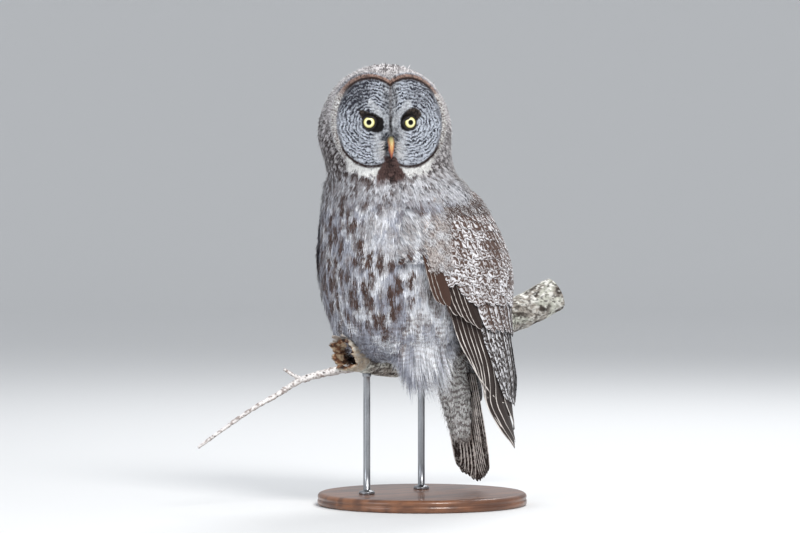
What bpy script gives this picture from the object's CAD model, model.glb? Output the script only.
"""The looks of the great grey owl: plumage, face, eyes, bill, claws, branch and stand.

Metres, +Z up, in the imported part's frame. The torso faces -Y, the owl's left is +X, and the head
is turned towards the owl's left. An azimuth is measured about the torso's or the head's own axis,
from its front towards the owl's left.
"""

import itertools
import math
from collections import namedtuple

import bpy
import numpy as np
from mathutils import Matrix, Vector
from mathutils.bvhtree import BVHTree


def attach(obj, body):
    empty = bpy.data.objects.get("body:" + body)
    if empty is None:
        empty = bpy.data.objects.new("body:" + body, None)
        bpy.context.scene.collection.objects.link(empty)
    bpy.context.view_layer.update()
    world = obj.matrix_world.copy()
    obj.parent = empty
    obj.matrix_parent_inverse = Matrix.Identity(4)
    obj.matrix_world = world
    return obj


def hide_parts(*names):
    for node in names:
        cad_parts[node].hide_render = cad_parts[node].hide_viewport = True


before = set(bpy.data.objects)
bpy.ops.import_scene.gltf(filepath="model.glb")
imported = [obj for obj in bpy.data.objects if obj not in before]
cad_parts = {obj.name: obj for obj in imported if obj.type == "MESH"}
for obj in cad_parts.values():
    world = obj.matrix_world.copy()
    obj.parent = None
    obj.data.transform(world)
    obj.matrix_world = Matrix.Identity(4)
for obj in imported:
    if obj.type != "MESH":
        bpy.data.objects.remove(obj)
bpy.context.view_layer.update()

draw = np.random.default_rng(17)

# Body form, as in the solids: height, half width, depth in front of the axis, depth behind it
TORSO_Y = -0.035
TORSO_LOW = 0.209
TORSO_SECTIONS = (
    (0.209, 0.050, 0.048, 0.066),
    (0.218, 0.078, 0.072, 0.096),
    (0.236, 0.095, 0.088, 0.118),
    (0.265, 0.106, 0.099, 0.134),
    (0.293, 0.114, 0.107, 0.142),
    (0.336, 0.118, 0.113, 0.141),
    (0.379, 0.116, 0.113, 0.122),
    (0.407, 0.113, 0.113, 0.103),
    (0.450, 0.106, 0.112, 0.078),
    (0.500, 0.100, 0.106, 0.070),
)
TORSO_POWER = 2.25
NECK_BLEND_FRONT = (0.436, 0.500)
NECK_BLEND_BACK = (0.438, 0.532)
NECK_TOP = 0.484
HEAD_Y = TORSO_Y - 0.0375
HEAD_YAW = math.radians(55)
HEAD_MID = 0.530
HEAD_TOP = 0.6277
HEAD_HALF_WIDTH = 0.093
HEAD_FRONT = 0.072
HEAD_BACK = 0.085
HEAD_CHIN_PULL = 0.10
HEAD_NAPE_SPREAD = 0.06
HEAD_POWER = 3.0

# Facial disc, eyes and bill
EYE_ACROSS = 0.0267
EYE_Z = 0.5466
DISC_HALF_WIDTH = 0.050
DISC_HALF_HEIGHT = 0.063
DISC_BOWL = 0.009
DISC_RIM = 0.004
DISC_RIM_SPREAD = 0.10
BROW_RIDGE = 0.009
BROW_SPREAD = 0.010
CHIN_HALF_WIDTH = 0.016
EYE_RADIUS = 0.013
EYE_DEPTH = 0.0535
EYE_SPLAY = math.radians(13)
IRIS_RADIUS = 0.0084
PUPIL_RADIUS = 0.0034
BILL_HALF_WIDTH = 0.0050
UPPER_BILL_LINE = (
    (0.062, 0.521),
    (0.072, 0.5225),
    (0.080, 0.5185),
    (0.0845, 0.511),
    (0.0845, 0.5025),
    (0.081, 0.4955),
)
LOWER_BILL_LINE = (
    (0.060, 0.5105),
    (0.070, 0.5085),
    (0.0765, 0.504),
    (0.0785, 0.4985),
)

# Folded wings: height, half width and depth behind the torso's axis
WING_SECTIONS = (
    (0.060, 0.080, 0.196),
    (0.076, 0.085, 0.196),
    (0.122, 0.093, 0.189),
    (0.153, 0.100, 0.185),
    (0.179, 0.112, 0.179),
    (0.207, 0.121, 0.169),
    (0.250, 0.125, 0.160),
    (0.293, 0.127, 0.158),
    (0.336, 0.128, 0.155),
    (0.379, 0.125, 0.136),
    (0.407, 0.121, 0.116),
    (0.436, 0.108, 0.096),
    (0.450, 0.104, 0.084),
)
WING_FRONT_DEPTH = 0.122
WING_POWER = 2.5
WING_LEADING = (
    (0.076, 164.0),
    (0.110, 157.0),
    (0.153, 142.0),
    (0.222, 102.0),
    (0.290, 76.0),
    (0.347, 64.0),
    (0.362, 61.0),
    (0.407, 62.0),
    (0.436, 66.0),
)
WING_TRAILING = 171.0
RIGHT_LEADING = (
    (0.076, 165.0),
    (0.110, 161.0),
    (0.153, 159.0),
    (0.180, 157.0),
    (0.200, 151.0),
    (0.222, 137.0),
    (0.250, 114.0),
    (0.290, 86.0),
    (0.347, 64.0),
    (0.362, 61.0),
    (0.407, 62.0),
    (0.436, 66.0),
)
RIGHT_TRAILING = (
    (0.076, 171.0),
    (0.150, 166.0),
    (0.182, 160.0),
    (0.205, 155.0),
    (0.280, 155.0),
    (0.320, 168.0),
    (0.360, 171.0),
    (0.436, 171.0),
)

# Tail and branch
TAIL_LINE = (
    (0.012, 0.078, 0.279),
    (0.015, 0.098, 0.179),
    (0.021, 0.111, 0.093),
    (0.025, 0.1206, 0.029),
)
TAIL_HALF_WIDTH = 0.0415
PERCH_LINE = (
    (-0.020, -0.097, 0.2200),
    (-0.026, -0.035, 0.2115),
    (-0.030, 0.030, 0.2070),
    (-0.041, 0.095, 0.218),
    (-0.036, 0.165, 0.241),
    (-0.028, 0.241, 0.265),
    (-0.014, 0.311, 0.292),
)
PERCH_RADIUS = 0.0238
PERCH_SWELL = 0.0022
CAMERA_AZIMUTH = math.radians(48)
CAMERA_RIGHT = np.array([math.cos(CAMERA_AZIMUTH), math.sin(CAMERA_AZIMUTH), 0.0])
TWIG_LENGTH = 0.219
TWIG_DROP = 0.112
TWIG_REACH = 0.030
TWIG_BENDS = (
    (0.0, 0.0),
    (0.20, 0.08),
    (0.35, 0.17),
    (0.49, 0.34),
    (0.69, 0.57),
    (1.0, 1.0),
)
TWIG_FORK = 0.37
TWIG_RADII = (0.0062, 0.0021)

# Legs and feet
FOOT_ALONG = {"left": 0.030, "right": -0.014}
TOE_RADIUS = 0.0068
TOE_SPREAD = 0.0095
TOE_FROM = math.radians(8)
TOE_TO = math.radians(74)
CLAW_TO = math.radians(122)
CLAW_SINK = math.radians(6)
CLAW_RADIUS = 0.0036

# Stand
BASE_RADIUS = 0.150
BASE_HEIGHT = 0.018
BASE_EDGE = 0.004
ROD_RADIUS = 0.005
ROD_STATIONS = (0.13, 0.43)


def tint(red, green, blue):
    """A linear colour from the everyday 0 to 255 values."""
    shares = np.array([red, green, blue]) / 255
    return np.where(shares < 0.04045, shares / 12.92, ((shares + 0.055) / 1.055) ** 2.4)


DISC_LIGHT = tint(206, 213, 225)
DISC_DARK = tint(46, 46, 56)
BROW_WHITE = tint(218, 222, 228)
BROW_BROWN = tint(80, 69, 62)
EYE_BLACK = tint(20, 16, 16)
RIM_BROWN = tint(54, 38, 36)
BEAD_RUST = tint(170, 134, 116)
MOUSTACHE_WHITE = tint(255, 255, 253)
BIB_BROWN = tint(98, 76, 73)
CROWN_LIGHT = tint(232, 228, 230)
CROWN_DARK = tint(58, 48, 48)
NECK_LIGHT = tint(216, 217, 223)
NECK_DARK = tint(84, 69, 66)
BREAST_WHITE = tint(240, 242, 248)
BREAST_GREY = tint(178, 181, 194)
BREAST_DARK = tint(90, 70, 64)
BACK_LIGHT = tint(198, 192, 188)
BACK_DARK = tint(82, 64, 57)
SHOULDER_TAN = tint(182, 160, 144)
FLIGHT_BROWN = tint(40, 28, 24)
FLIGHT_PALE = tint(240, 232, 226)
COVERT_WHITE = tint(226, 226, 230)
ALULA_BROWN = tint(66, 46, 38)


def unit(vectors):
    vectors = np.asarray(vectors, float)
    return vectors / np.maximum(np.linalg.norm(vectors, axis=-1, keepdims=True), 1e-12)


def smoothstep(low, high, value):
    share = np.clip((value - low) / (high - low), 0, 1)
    return share * share * (3 - 2 * share)


def mix(first, second, share):
    """From the first value to the second, by a share."""
    return first * (1 - share) + second * share


def mix_rows(first, second, share):
    """From the first colours or vectors to the second, by a share for each."""
    return mix(first, second, np.asarray(share)[..., None])


def read_table(table, at):
    """The columns after the first, at values of the first column, on a smooth curve."""
    rows = np.array(table, float)
    keys = rows[:, 0]
    at = np.clip(np.asarray(at, float), keys[0], keys[-1])
    slopes = np.gradient(rows[:, 1:], keys, axis=0)
    low = np.clip(np.searchsorted(keys, at) - 1, 0, len(keys) - 2)
    width = (keys[low + 1] - keys[low])[..., None]
    share = (at - keys[low])[..., None] / width
    start, end = rows[low, 1:], rows[low + 1, 1:]
    read = (
        (1 + 2 * share) * (1 - share) ** 2 * start
        + share * (1 - share) ** 2 * width * slopes[low]
        + share * share * (3 - 2 * share) * end
        + share * share * (share - 1) * width * slopes[low + 1]
    )
    return np.moveaxis(read, -1, 0)


def curve_through(points, shares):
    """Points on the smooth curve through the given points, at shares of their count."""
    keys = np.linspace(0.0, 1.0, len(points))
    return np.moveaxis(read_table(np.column_stack([keys, np.array(points, float)]), shares), 0, -1)


def oval(azimuth, half_width, front, back, power):
    """The radius of a squarish oval at an azimuth."""
    across = np.abs(np.sin(azimuth)) / half_width
    along = np.abs(np.cos(azimuth)) / np.where(np.cos(azimuth) > 0, front, back)
    return (across**power + along**power) ** (-1 / power)


def torso_point(azimuth, z):
    half_width, front, back = read_table(TORSO_SECTIONS, z)
    radius = oval(azimuth, half_width, front, back, TORSO_POWER)
    x, y = radius * np.sin(azimuth), TORSO_Y - radius * np.cos(azimuth)
    return np.stack(np.broadcast_arrays(x, y, z), -1)


HEAD_LEFT = np.array([math.cos(HEAD_YAW), math.sin(HEAD_YAW), 0.0])
HEAD_FORWARD = np.array([math.sin(HEAD_YAW), -math.cos(HEAD_YAW), 0.0])
UP = np.array([0.0, 0.0, 1.0])


def disc_reach(across, z):
    """The distance from the nearer eye, as a share of the facial disc's."""
    return np.hypot((np.abs(across) - EYE_ACROSS) / DISC_HALF_WIDTH, (z - EYE_Z) / DISC_HALF_HEIGHT)


def face_relief(across, z):
    """How far the face stands forward of a plain head."""
    up = z - EYE_Z
    reach = disc_reach(across, z)
    bowl = -DISC_BOWL * np.maximum(0.0, 1 - reach**2)
    rim = DISC_RIM * np.exp(-(((reach - 1) / DISC_RIM_SPREAD) ** 2))
    rim = np.where(up < 0, rim * (1 - np.exp(-((across / CHIN_HALF_WIDTH) ** 2))), rim)
    ridge_span = smoothstep(-0.042, -0.020, up) * (1 - smoothstep(0.036, 0.058, up))
    ridge = BROW_RIDGE * np.exp(-((across / BROW_SPREAD) ** 2)) * ridge_span
    return bowl + rim + ridge


def head_place(across, forward, z):
    across, forward, z = np.broadcast_arrays(across, forward, z)
    flat = across[..., None] * HEAD_LEFT + forward[..., None] * HEAD_FORWARD
    return flat + np.stack([0 * z, 0 * z + HEAD_Y, z], -1)


def head_point(azimuth, z):
    rise = np.clip((z - HEAD_MID) / (HEAD_TOP - HEAD_MID), 0, 1)
    drop = np.maximum(0, (HEAD_MID - z) / (HEAD_MID - NECK_TOP))
    round_share = np.sqrt(1 - rise**2)
    half_width = HEAD_HALF_WIDTH * round_share * (1 - HEAD_CHIN_PULL * np.minimum(drop, 1.3) ** 2)
    front = HEAD_FRONT * (1 - rise**3) ** (1 / 3)
    back = HEAD_BACK * round_share * (1 + HEAD_NAPE_SPREAD * drop)
    half_width, front, back = (np.maximum(size, 1e-5) for size in (half_width, front, back))
    before = oval(azimuth, half_width, front, back, HEAD_POWER)
    behind = oval(azimuth, half_width, 1.0, back, TORSO_POWER)
    radius = np.where(np.cos(azimuth) < 0, behind, before)
    across, forward = radius * np.sin(azimuth), radius * np.cos(azimuth)
    shown = smoothstep(0.0, 0.03, forward)
    return head_place(across, forward + face_relief(across, z) * shown, z)


def body_point(azimuth, z):
    """A point of the torso, neck or head, which are one form."""
    azimuth, z = np.broadcast_arrays(np.asarray(azimuth, float), np.asarray(z, float))
    back = smoothstep(0.45, 0.05, np.cos(azimuth - HEAD_YAW))
    low = mix(NECK_BLEND_FRONT[0], NECK_BLEND_BACK[0], back)
    high = mix(NECK_BLEND_FRONT[1], NECK_BLEND_BACK[1], back)
    share = np.clip((z - low) / (high - low), 0, 1)
    share = share * share * (3 - 2 * share)
    return mix_rows(torso_point(azimuth, z), head_point(azimuth - HEAD_YAW, z), share)


def leading_edge(z):
    return read_table(WING_LEADING, z)[0]


def wing_point(side, azimuth, z, lift):
    """A point of a folded wing, at a lift from its outer surface; azimuths are the left wing's."""
    azimuth, z = np.broadcast_arrays(np.asarray(azimuth, float), np.asarray(z, float))
    half_width, back = read_table(WING_SECTIONS, z)
    if side < 0:
        first = leading_edge(z)
        own_first, own_last = read_table(RIGHT_LEADING, z)[0], read_table(RIGHT_TRAILING, z)[0]
        share = (azimuth - first) / (WING_TRAILING - first)
        azimuth = own_first + share * (own_last - own_first)
    turn = np.radians(azimuth)
    radius = oval(turn, half_width, WING_FRONT_DEPTH, back, WING_POWER) + lift
    return np.stack([side * radius * np.sin(turn), TORSO_Y - radius * np.cos(turn), z], -1)


def tail_place(shares, across, out):
    """A point of the tail: along it from its root, across it, and out from its upper side."""
    line = curve_through(TAIL_LINE, shares)
    return line + np.stack(np.broadcast_arrays(across, TORSO_Y + out, 0.0 * line[..., 0]), -1)


def perch_axis(shares):
    return curve_through(PERCH_LINE, shares) + np.array([0.0, TORSO_Y, 0.0])


def perch_girth(share, turn):
    """The branch's radius: thicker towards the cut end, with low swellings."""
    knots = np.sin(9.0 * share * math.pi + 1.7 * np.sin(turn)) + 0.6 * np.sin(3 * turn + 14 * share)
    return PERCH_RADIUS * (1 + 0.06 * share) + PERCH_SWELL * 0.35 * knots


def round_perch(along, turn, reach):
    """A place beside the perch: behind the torso's axis, round from its top, out from its axis."""
    share = np.clip((along + 0.097) / (0.311 + 0.097), 0, 1)
    for _ in range(6):
        share = share + (along + TORSO_Y - perch_axis(share)[1]) / 0.408
    step = unit(perch_axis(share + 0.02) - perch_axis(share - 0.02))
    left = unit(np.cross(step, UP))
    up = np.cross(left, step)
    left = left if left[0] > 0 else -left
    return perch_axis(share) + reach * (math.cos(turn) * up + math.sin(turn) * left)


# Noise and spots
def hashed(*keys):
    """Scattered numbers from 0 to 1 that depend only on the keys."""
    total = sum(np.asarray(key) * factor for key, factor in zip(keys, (12.9898, 78.233, 37.719, 9.151)))
    return np.modf(np.abs(np.sin(total) * 43758.5453))[0]


def noise(places, scale, seed=0.0):
    """Smooth noise from -1 to 1."""
    spots = np.asarray(places) * scale
    base = np.floor(spots)
    share = spots - base
    share = share * share * (3 - 2 * share)
    total = 0
    for corner in itertools.product((0, 1), repeat=3):
        weight = np.prod(np.where(np.array(corner), share, 1 - share), axis=-1)
        total = total + weight * hashed(*(np.moveaxis(base, -1, 0) + np.array(corner).reshape(3, *[1] * (base.ndim - 1))), seed)
    return 2 * total - 1


def blotches(across, up, step, size, seed):
    """Soft upright spots in staggered columns, from 0 to 1."""
    best = np.zeros(np.shape(across))
    for i in (-1, 0, 1):
        column = np.floor(across / step[0]) + i
        shift = hashed(column, seed) * step[1]
        for j in (-1, 0, 1):
            row = np.floor((up + shift) / step[1]) + j
            middle = (column + 0.5 + 0.45 * (hashed(column, row, seed + 1) - 0.5)) * step[0]
            height = (row + 0.5 + 0.5 * (hashed(column, row, seed + 2) - 0.5)) * step[1] - shift
            strength = 0.45 + 0.55 * hashed(column, row, seed + 3)
            away = np.hypot((across - middle) / size[0], (up - height) / size[1])
            best = np.maximum(best, strength * smoothstep(1.2, 0.5, away))
    return best


# A look is the light and dark colour, the share of the dark one, the strength of the bars, and
# the bars' phase. A place is where it is read: points, the tip of the point's feather, how far
# along and across the feather it is, a number drawn for the feather, and the feather's length.
Look = namedtuple("Look", "light dark share bars phase")
Place = namedtuple("Place", "points tips along across chance length")


def bare_place(points):
    """A place on skin, with no feather of its own."""
    nothing = np.zeros(points.shape[:-1])
    return Place(points, points, nothing + 0.7, nothing, nothing + 0.5, 0.02)


def blend_looks(first, second, share):
    """From the first look to the second, by a share for each place."""
    colours = (mix_rows(a, b, share) for a, b in zip(first[:2], second[:2]))
    numbers = (mix(a, b, share) for a, b in zip(first[2:], second[2:]))
    return Look(*colours, *numbers)


def plain_look(light, dark, share, bars, phase):
    """A look whose colours and numbers are spread over the places of the phase."""
    ones = np.ones(np.shape(phase))
    return Look(ones[..., None] * light, ones[..., None] * dark, ones * share, ones * bars, phase)


# The dark about each eye: the angle from the bill's side up over the brow, and how far it reaches
EYE_DARK = {
    -1: (
        (-180, 0.0104), (-110, 0.0106), (-90, 0.0118), (-70, 0.0150), (-50, 0.0180), (-33, 0.0196),
        (-15, 0.0180), (0, 0.0172), (18, 0.0178), (30, 0.0156), (45, 0.0138), (70, 0.0130), (90, 0.0136),
        (110, 0.0164), (125, 0.0215), (133, 0.0235), (142, 0.0200), (155, 0.0142), (170, 0.0108), (180, 0.0104),
    ),
    1: (
        (-180, 0.0104), (-90, 0.0106), (-60, 0.0122), (-44, 0.0132), (-20, 0.0114), (0, 0.0106),
        (30, 0.0114), (55, 0.0130), (74, 0.0152), (90, 0.0182), (105, 0.0214), (120, 0.0228), (132, 0.0234),
        (150, 0.0216), (158, 0.0165), (166, 0.0128), (174, 0.0106), (180, 0.0104),
    ),
}
BROW_LINE = ((0.0212, 0.000), (0.0005, 0.0270))
BROW_REACH = 0.0072
RING_STEP = 0.0047
BEAD_STEP = 0.0047


def off_segment(across, up, start, end):
    """The distance from a straight line between two points."""
    run = np.subtract(end, start)
    share = ((across - start[0]) * run[0] + (up - start[1]) * run[1]) / np.dot(run, run)
    share = np.clip(share, 0, 1)
    return np.hypot(across - start[0] - share * run[0], up - start[1] - share * run[1])


def face_look(place, across, up):
    """Rings about each eye, pale brows, dark marks at the eyes and bill, and the rim."""
    inward, reach = EYE_ACROSS - np.abs(across), disc_reach(across, up + EYE_Z)
    away = np.hypot(inward, up)
    angle = np.degrees(np.arctan2(up, inward))
    flat = np.stack([across, up, 0 * up], -1)
    wobble, fine, grain = noise(flat, 95.0, 3.0), noise(flat, 330.0, 4.0), noise(flat, 720.0, 7.0)
    chance = place.chance - 0.5
    phase = away / RING_STEP + 0.50 * wobble + 0.20 * fine + 0.30 * chance
    upper = smoothstep(-0.002, 0.034, up) * smoothstep(0.016, -0.014, inward)
    broken = 0.40 + 0.60 * smoothstep(-0.3, 0.3, noise(flat, 190.0, 9.0))
    look = plain_look(DISC_LIGHT, DISC_DARK, 0.34, 1.15, phase)
    share = look.share + np.where(across < 0, 0.56, 0.40) * upper - 0.12 * (across > 0)
    share = share + 0.44 * chance + 0.20 * fine + 0.26 * grain
    look = look._replace(share=share, bars=look.bars * broken * (1 - 0.25 * upper))
    # the middle of the face is paler and finely streaked
    lores = smoothstep(0.030, 0.018, np.abs(across)) * smoothstep(0.004, -0.010, up)
    lores = lores * smoothstep(-0.060, -0.048, up)
    pale = plain_look(BROW_WHITE, DISC_DARK, 0.0, 0.22, phase)
    pale = pale._replace(share=0.18 + 0.55 * chance + 0.25 * fine)
    look = blend_looks(look, pale, 0.85 * lores)
    middle = smoothstep(0.014, 0.006, np.abs(across)) * smoothstep(-0.02, 0.0, up)
    grey = pale._replace(share=0.72 + 0.70 * chance + 0.45 * fine)
    look = blend_looks(look, grey, 0.80 * middle)
    off_brow = off_segment(inward, up, *BROW_LINE)
    brow = smoothstep(BROW_REACH, 0.45 * BROW_REACH, off_brow + 0.0010 * fine)
    white = pale._replace(share=0.12 + 0.40 * chance + 0.20 * fine)
    look = blend_looks(look, white, 0.86 * brow)
    beside_bill = smoothstep(0.0170, 0.0085, np.abs(across)) * smoothstep(-0.010, -0.020, up)
    beside_bill = beside_bill * smoothstep(-0.046, -0.036, up)
    look = look._replace(share=mix(look.share, 0.96, 0.85 * beside_bill))
    line = smoothstep(0.0034, 0.0012, np.abs(across + 0.0006 * wobble))
    line = line * smoothstep(-0.024, -0.014, up) * smoothstep(0.064, 0.056, up)
    blackest = smoothstep(0.012, 0.002, up)
    spots = np.clip(0.62 + 0.9 * chance + 0.45 * blackest, 0, 1)
    streak = plain_look(mix_rows(RIM_BROWN, EYE_BLACK, blackest), EYE_BLACK, 0.3, 0.0, phase)
    look = blend_looks(look, streak, line * spots)
    # dark about the eyes, brown at its upper outer end
    for side, table in EYE_DARK.items():
        angles, reaches = np.transpose(table)
        edge = np.interp(angle, angles, reaches) + 0.0009 * fine
        dark = smoothstep(edge + 0.0012, edge - 0.0008, away) * (across * side > 0)
        outer = smoothstep(62, 100, angle) * smoothstep(0.0115, 0.0145, away)
        smoky = plain_look(BROW_BROWN, EYE_BLACK, 0.0, 0.25, phase)
        smoky = smoky._replace(share=0.52 + 1.1 * chance)
        black = plain_look(EYE_BLACK, EYE_BLACK, 1.0, 0.0, phase)
        look = blend_looks(look, blend_looks(black, smoky, outer), dark)
    # rim: a thin dark line with rust outside it, and beads of rust and white down the sides
    reach = reach + 0.004 * fine
    side = smoothstep(1.0, 0.70, np.abs(up + 0.012) / DISC_HALF_HEIGHT) * smoothstep(0.0, -0.012, inward)
    low = smoothstep(-0.020, -0.040, up)
    outside = reach + 0.050 * side * (1 - low)
    line = smoothstep(0.940, 0.956, outside) * smoothstep(1.024, 1.010, outside)
    band = smoothstep(1.000, 1.012, outside) * smoothstep(1.10, 1.07, reach - 0.03 * side)
    rust = plain_look(BEAD_RUST, RIM_BROWN, 0.0, 0.0, phase)
    rust = rust._replace(share=0.30 + 1.5 * chance)
    beads = smoothstep(-0.1, 0.2, np.sin(2 * np.pi * away * np.radians(angle % 360) / BEAD_STEP))
    bead = plain_look(mix_rows(BEAD_RUST * 0.30, MOUSTACHE_WHITE, beads), RIM_BROWN, 0.0, 0.0, phase)
    rim = blend_looks(rust, bead, np.maximum(side, low))
    look = blend_looks(look, rim, 0.92 * band)
    dark = plain_look(RIM_BROWN, EYE_BLACK, 0.25, 0.0, phase)
    return blend_looks(look, dark, line * (1 - 0.55 * side * (1 - low)))


def head_look(place, across, forward, z):
    """The crown, sides and nape, in pale and dark scallops."""
    up, reach = z - EYE_Z, disc_reach(across, z)
    mottle = noise(place.tips, 170.0, 5.0)
    phase = (z - forward) / 0.0062 + 1.3 * noise(place.points, 120.0, 6.0)
    look = plain_look(CROWN_LIGHT, CROWN_DARK, 0.0, 0.10, phase)
    low = smoothstep(0.03, -0.05, up)
    spots = smoothstep(0.31, 0.43, place.chance + 0.28 * mottle + 0.06 * low)
    centre = smoothstep(1.0, 0.55, np.abs(place.across)) * smoothstep(1.02, 0.90, place.along)
    share = 0.04 + 0.96 * spots * centre + 0.08 * smoothstep(0.03, -0.05, forward) + 0.10 * low
    share = share - 0.24 * np.sign(across) * smoothstep(0.045, 0.085, np.abs(across)) * low
    look = look._replace(share=share)
    near_rim = smoothstep(1.30, 1.14, reach) * smoothstep(-0.02, 0.03, forward)
    pale = look._replace(share=0.02 + 0.62 * spots * centre)
    return blend_looks(look, pale, near_rim * smoothstep(-0.03, 0.01, up))


def chin_look(look, place, across, forward, z):
    """The same look with the white beards and the dark bib laid over it."""
    up, reach = z - EYE_Z, disc_reach(across, z)
    front = smoothstep(0.01, 0.04, forward)
    ragged = 0.10 * noise(place.points, 260.0, 8.0) + 0.09 * (place.chance - 0.5)
    beard = smoothstep(1.015, 1.045, reach + 0.25 * ragged) * smoothstep(1.25, 1.17, reach + ragged)
    beard = beard * smoothstep(-0.044, -0.052, up) * smoothstep(0.066, 0.054, np.abs(across))
    white = plain_look(MOUSTACHE_WHITE, NECK_DARK, 0.0, 0.05, look.phase)
    white = white._replace(share=-0.10 + 0.5 * np.maximum(0, place.chance - 0.75))
    look = blend_looks(look, white, beard * front)
    half = 0.0080 + 0.0115 * smoothstep(-0.048, -0.078, up) + 0.02 * ragged
    bib = smoothstep(half + 0.0025, half - 0.001, np.abs(across))
    bib = bib * smoothstep(-0.044, -0.049, up) * smoothstep(-0.092, -0.080, up + 0.05 * ragged)
    brown = plain_look(BIB_BROWN, EYE_BLACK, 0.0, 0.30, look.phase)
    brown = brown._replace(share=0.05 + 0.9 * place.chance * smoothstep(0.012, 0.0, np.abs(across)))
    return blend_looks(look, brown, bib * front)


def torso_look(place, turn, z):
    """Streaked breast, faintly barred belly and flanks, and a mottled brown back."""
    side = np.abs(np.degrees(turn))
    fine = noise(place.points, 160.0, 11.0)
    patch = noise(place.tips, 52.0, 14.0)
    chance = place.chance - 0.5
    tip_turn = np.arctan2(place.tips[..., 0], TORSO_Y - place.tips[..., 1])
    tip_z = place.tips[..., 2]
    arc = tip_turn * 0.112 + 0.0022 * noise(place.tips, 70.0, 15.0) + 0.0016 * chance
    height = mix(tip_z, z, 0.25) + 0.006 * noise(place.tips, 45.0, 16.0)
    streaks = blotches(arc, height, (0.0138, 0.030), (0.0062, 0.0160), 21.0)
    strength = (1 - 0.35 * smoothstep(45, 85, side)) * mix(0.34, 1.0, smoothstep(0.218, 0.285, z))
    pale = np.hypot((np.degrees(turn) - 40) / 20, (z - 0.392) / 0.036)
    strength = strength * (1 - 0.60 * smoothstep(1.3, 0.5, pale))
    right = smoothstep(40, 62, np.degrees(turn)) * smoothstep(0.36, 0.33, z)
    whiter = smoothstep(-0.25, 0.45, patch + 0.7 * smoothstep(1.5, 0.4, pale) + 0.9 * chance + 0.4 * right)
    light = mix_rows(BREAST_GREY, BREAST_WHITE, whiter)
    core = 1.0 - 0.55 * smoothstep(0.45, 1.0, np.abs(place.across))
    fringe = smoothstep(0.84, 1.0, place.along)
    share = 0.05 + 0.10 * fine + 1.30 * streaks * strength * core + 0.26 * chance
    share = share - 0.30 * fringe * smoothstep(0.3, 0.7, place.chance) - 0.15 * right
    phase = z / 0.0068 + 1.0 * noise(place.points, 60.0, 12.0) + 0.5 * chance
    bars = 0.10 + 0.28 * smoothstep(0.30, 0.24, z) + 0.14 * smoothstep(50, 85, side)
    breast = Look(light, 0 * light + BREAST_DARK, share, bars, phase)
    back = plain_look(BACK_LIGHT, BACK_DARK, 0.42, 0.7, z / 0.0058 + 1.2 * noise(place.points, 80.0, 13.0))
    streaked = blotches(arc, z, (0.016, 0.04), (0.004, 0.02), 31.0)
    back = back._replace(share=0.36 + 0.25 * fine + 0.35 * streaked + 0.4 * chance)
    look = blend_looks(breast, back, smoothstep(92, 118, side))
    # collar: thin dark streaks that run down from the chin
    thin = blotches(arc, z, (0.0090, 0.030), (0.0034, 0.016), 41.0)
    collar = plain_look(NECK_LIGHT, NECK_DARK, 0.0, 0.10, look.phase)
    darker = 0.24 * smoothstep(30, 0, np.degrees(turn)) - 0.34 * smoothstep(38, 66, np.degrees(turn))
    collar = collar._replace(share=0.04 + 0.12 * fine + 1.0 * thin + 0.75 * chance + darker)
    return blend_looks(look, collar, smoothstep(0.415, 0.450, z) * smoothstep(130, 95, side))


def body_look(place):
    """The markings at any place of the head, neck or torso."""
    z = place.points[..., 2]
    beside = place.points - np.array([0.0, HEAD_Y, 0.0])
    across, forward = beside @ HEAD_LEFT, beside @ HEAD_FORWARD
    turn = np.arctan2(place.points[..., 0], TORSO_Y - place.points[..., 1])
    head = head_look(place, across, forward, z)
    shown = smoothstep(1.13, 1.10, disc_reach(across, z)) * smoothstep(0.005, 0.02, forward)
    head = blend_looks(head, face_look(place, across, z - EYE_Z), shown)
    torso = torso_look(place, turn, z)
    look = blend_looks(torso, head, smoothstep(0.462, 0.486, z + 0.016 * (place.chance - 0.5)))
    return chin_look(look, place, across, forward, z)


# Meshes
def add_mesh(name, points, triangles, smooth=True):
    """A mesh object from arrays."""
    points = np.asarray(points, np.float32).reshape(-1, 3)
    triangles = np.asarray(triangles, np.int32).reshape(-1, 3)
    mesh = bpy.data.meshes.new(name)
    mesh.vertices.add(len(points))
    mesh.vertices.foreach_set("co", points.ravel())
    mesh.loops.add(triangles.size)
    mesh.loops.foreach_set("vertex_index", triangles.ravel())
    mesh.polygons.add(len(triangles))
    mesh.polygons.foreach_set("loop_start", np.arange(0, triangles.size, 3, dtype=np.int32))
    mesh.update(calc_edges=True)
    if smooth:
        mesh.shade_smooth()
    added = bpy.data.objects.new(name, mesh)
    bpy.context.scene.collection.objects.link(added)
    return added


def put_number(piece, name, values):
    data = piece.data.attributes.new(name, "FLOAT", "POINT").data
    data.foreach_set("value", np.asarray(values, np.float32).ravel())


def put_colour(piece, name, values):
    values = np.asarray(values, np.float32).reshape(-1, 3)
    full = np.concatenate([values, np.ones((len(values), 1), np.float32)], 1)
    piece.data.attributes.new(name, "FLOAT_COLOR", "POINT").data.foreach_set("color", full.ravel())


def put_normals(piece, normals):
    data = piece.data.attributes.new("custom_normal", "FLOAT_VECTOR", "POINT").data
    data.foreach_set("vector", np.asarray(normals, np.float32).ravel())


def put_map(piece, name, across, along):
    """A texture map given at the mesh's points."""
    corners = np.empty(len(piece.data.loops), np.int32)
    piece.data.loops.foreach_get("vertex_index", corners)
    spots = np.stack([np.ravel(across), np.ravel(along)], 1).astype(np.float32)
    piece.data.uv_layers.new(name=name).data.foreach_set("uv", spots[corners].ravel())


def put_look(piece, look):
    put_colour(piece, "light", np.clip(look.light, 0, 1))
    put_colour(piece, "dark", np.clip(look.dark, 0, 1))
    put_number(piece, "share", np.clip(look.share, -0.5, 1.5))
    put_number(piece, "bars", look.bars)
    put_number(piece, "phase", look.phase)


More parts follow.
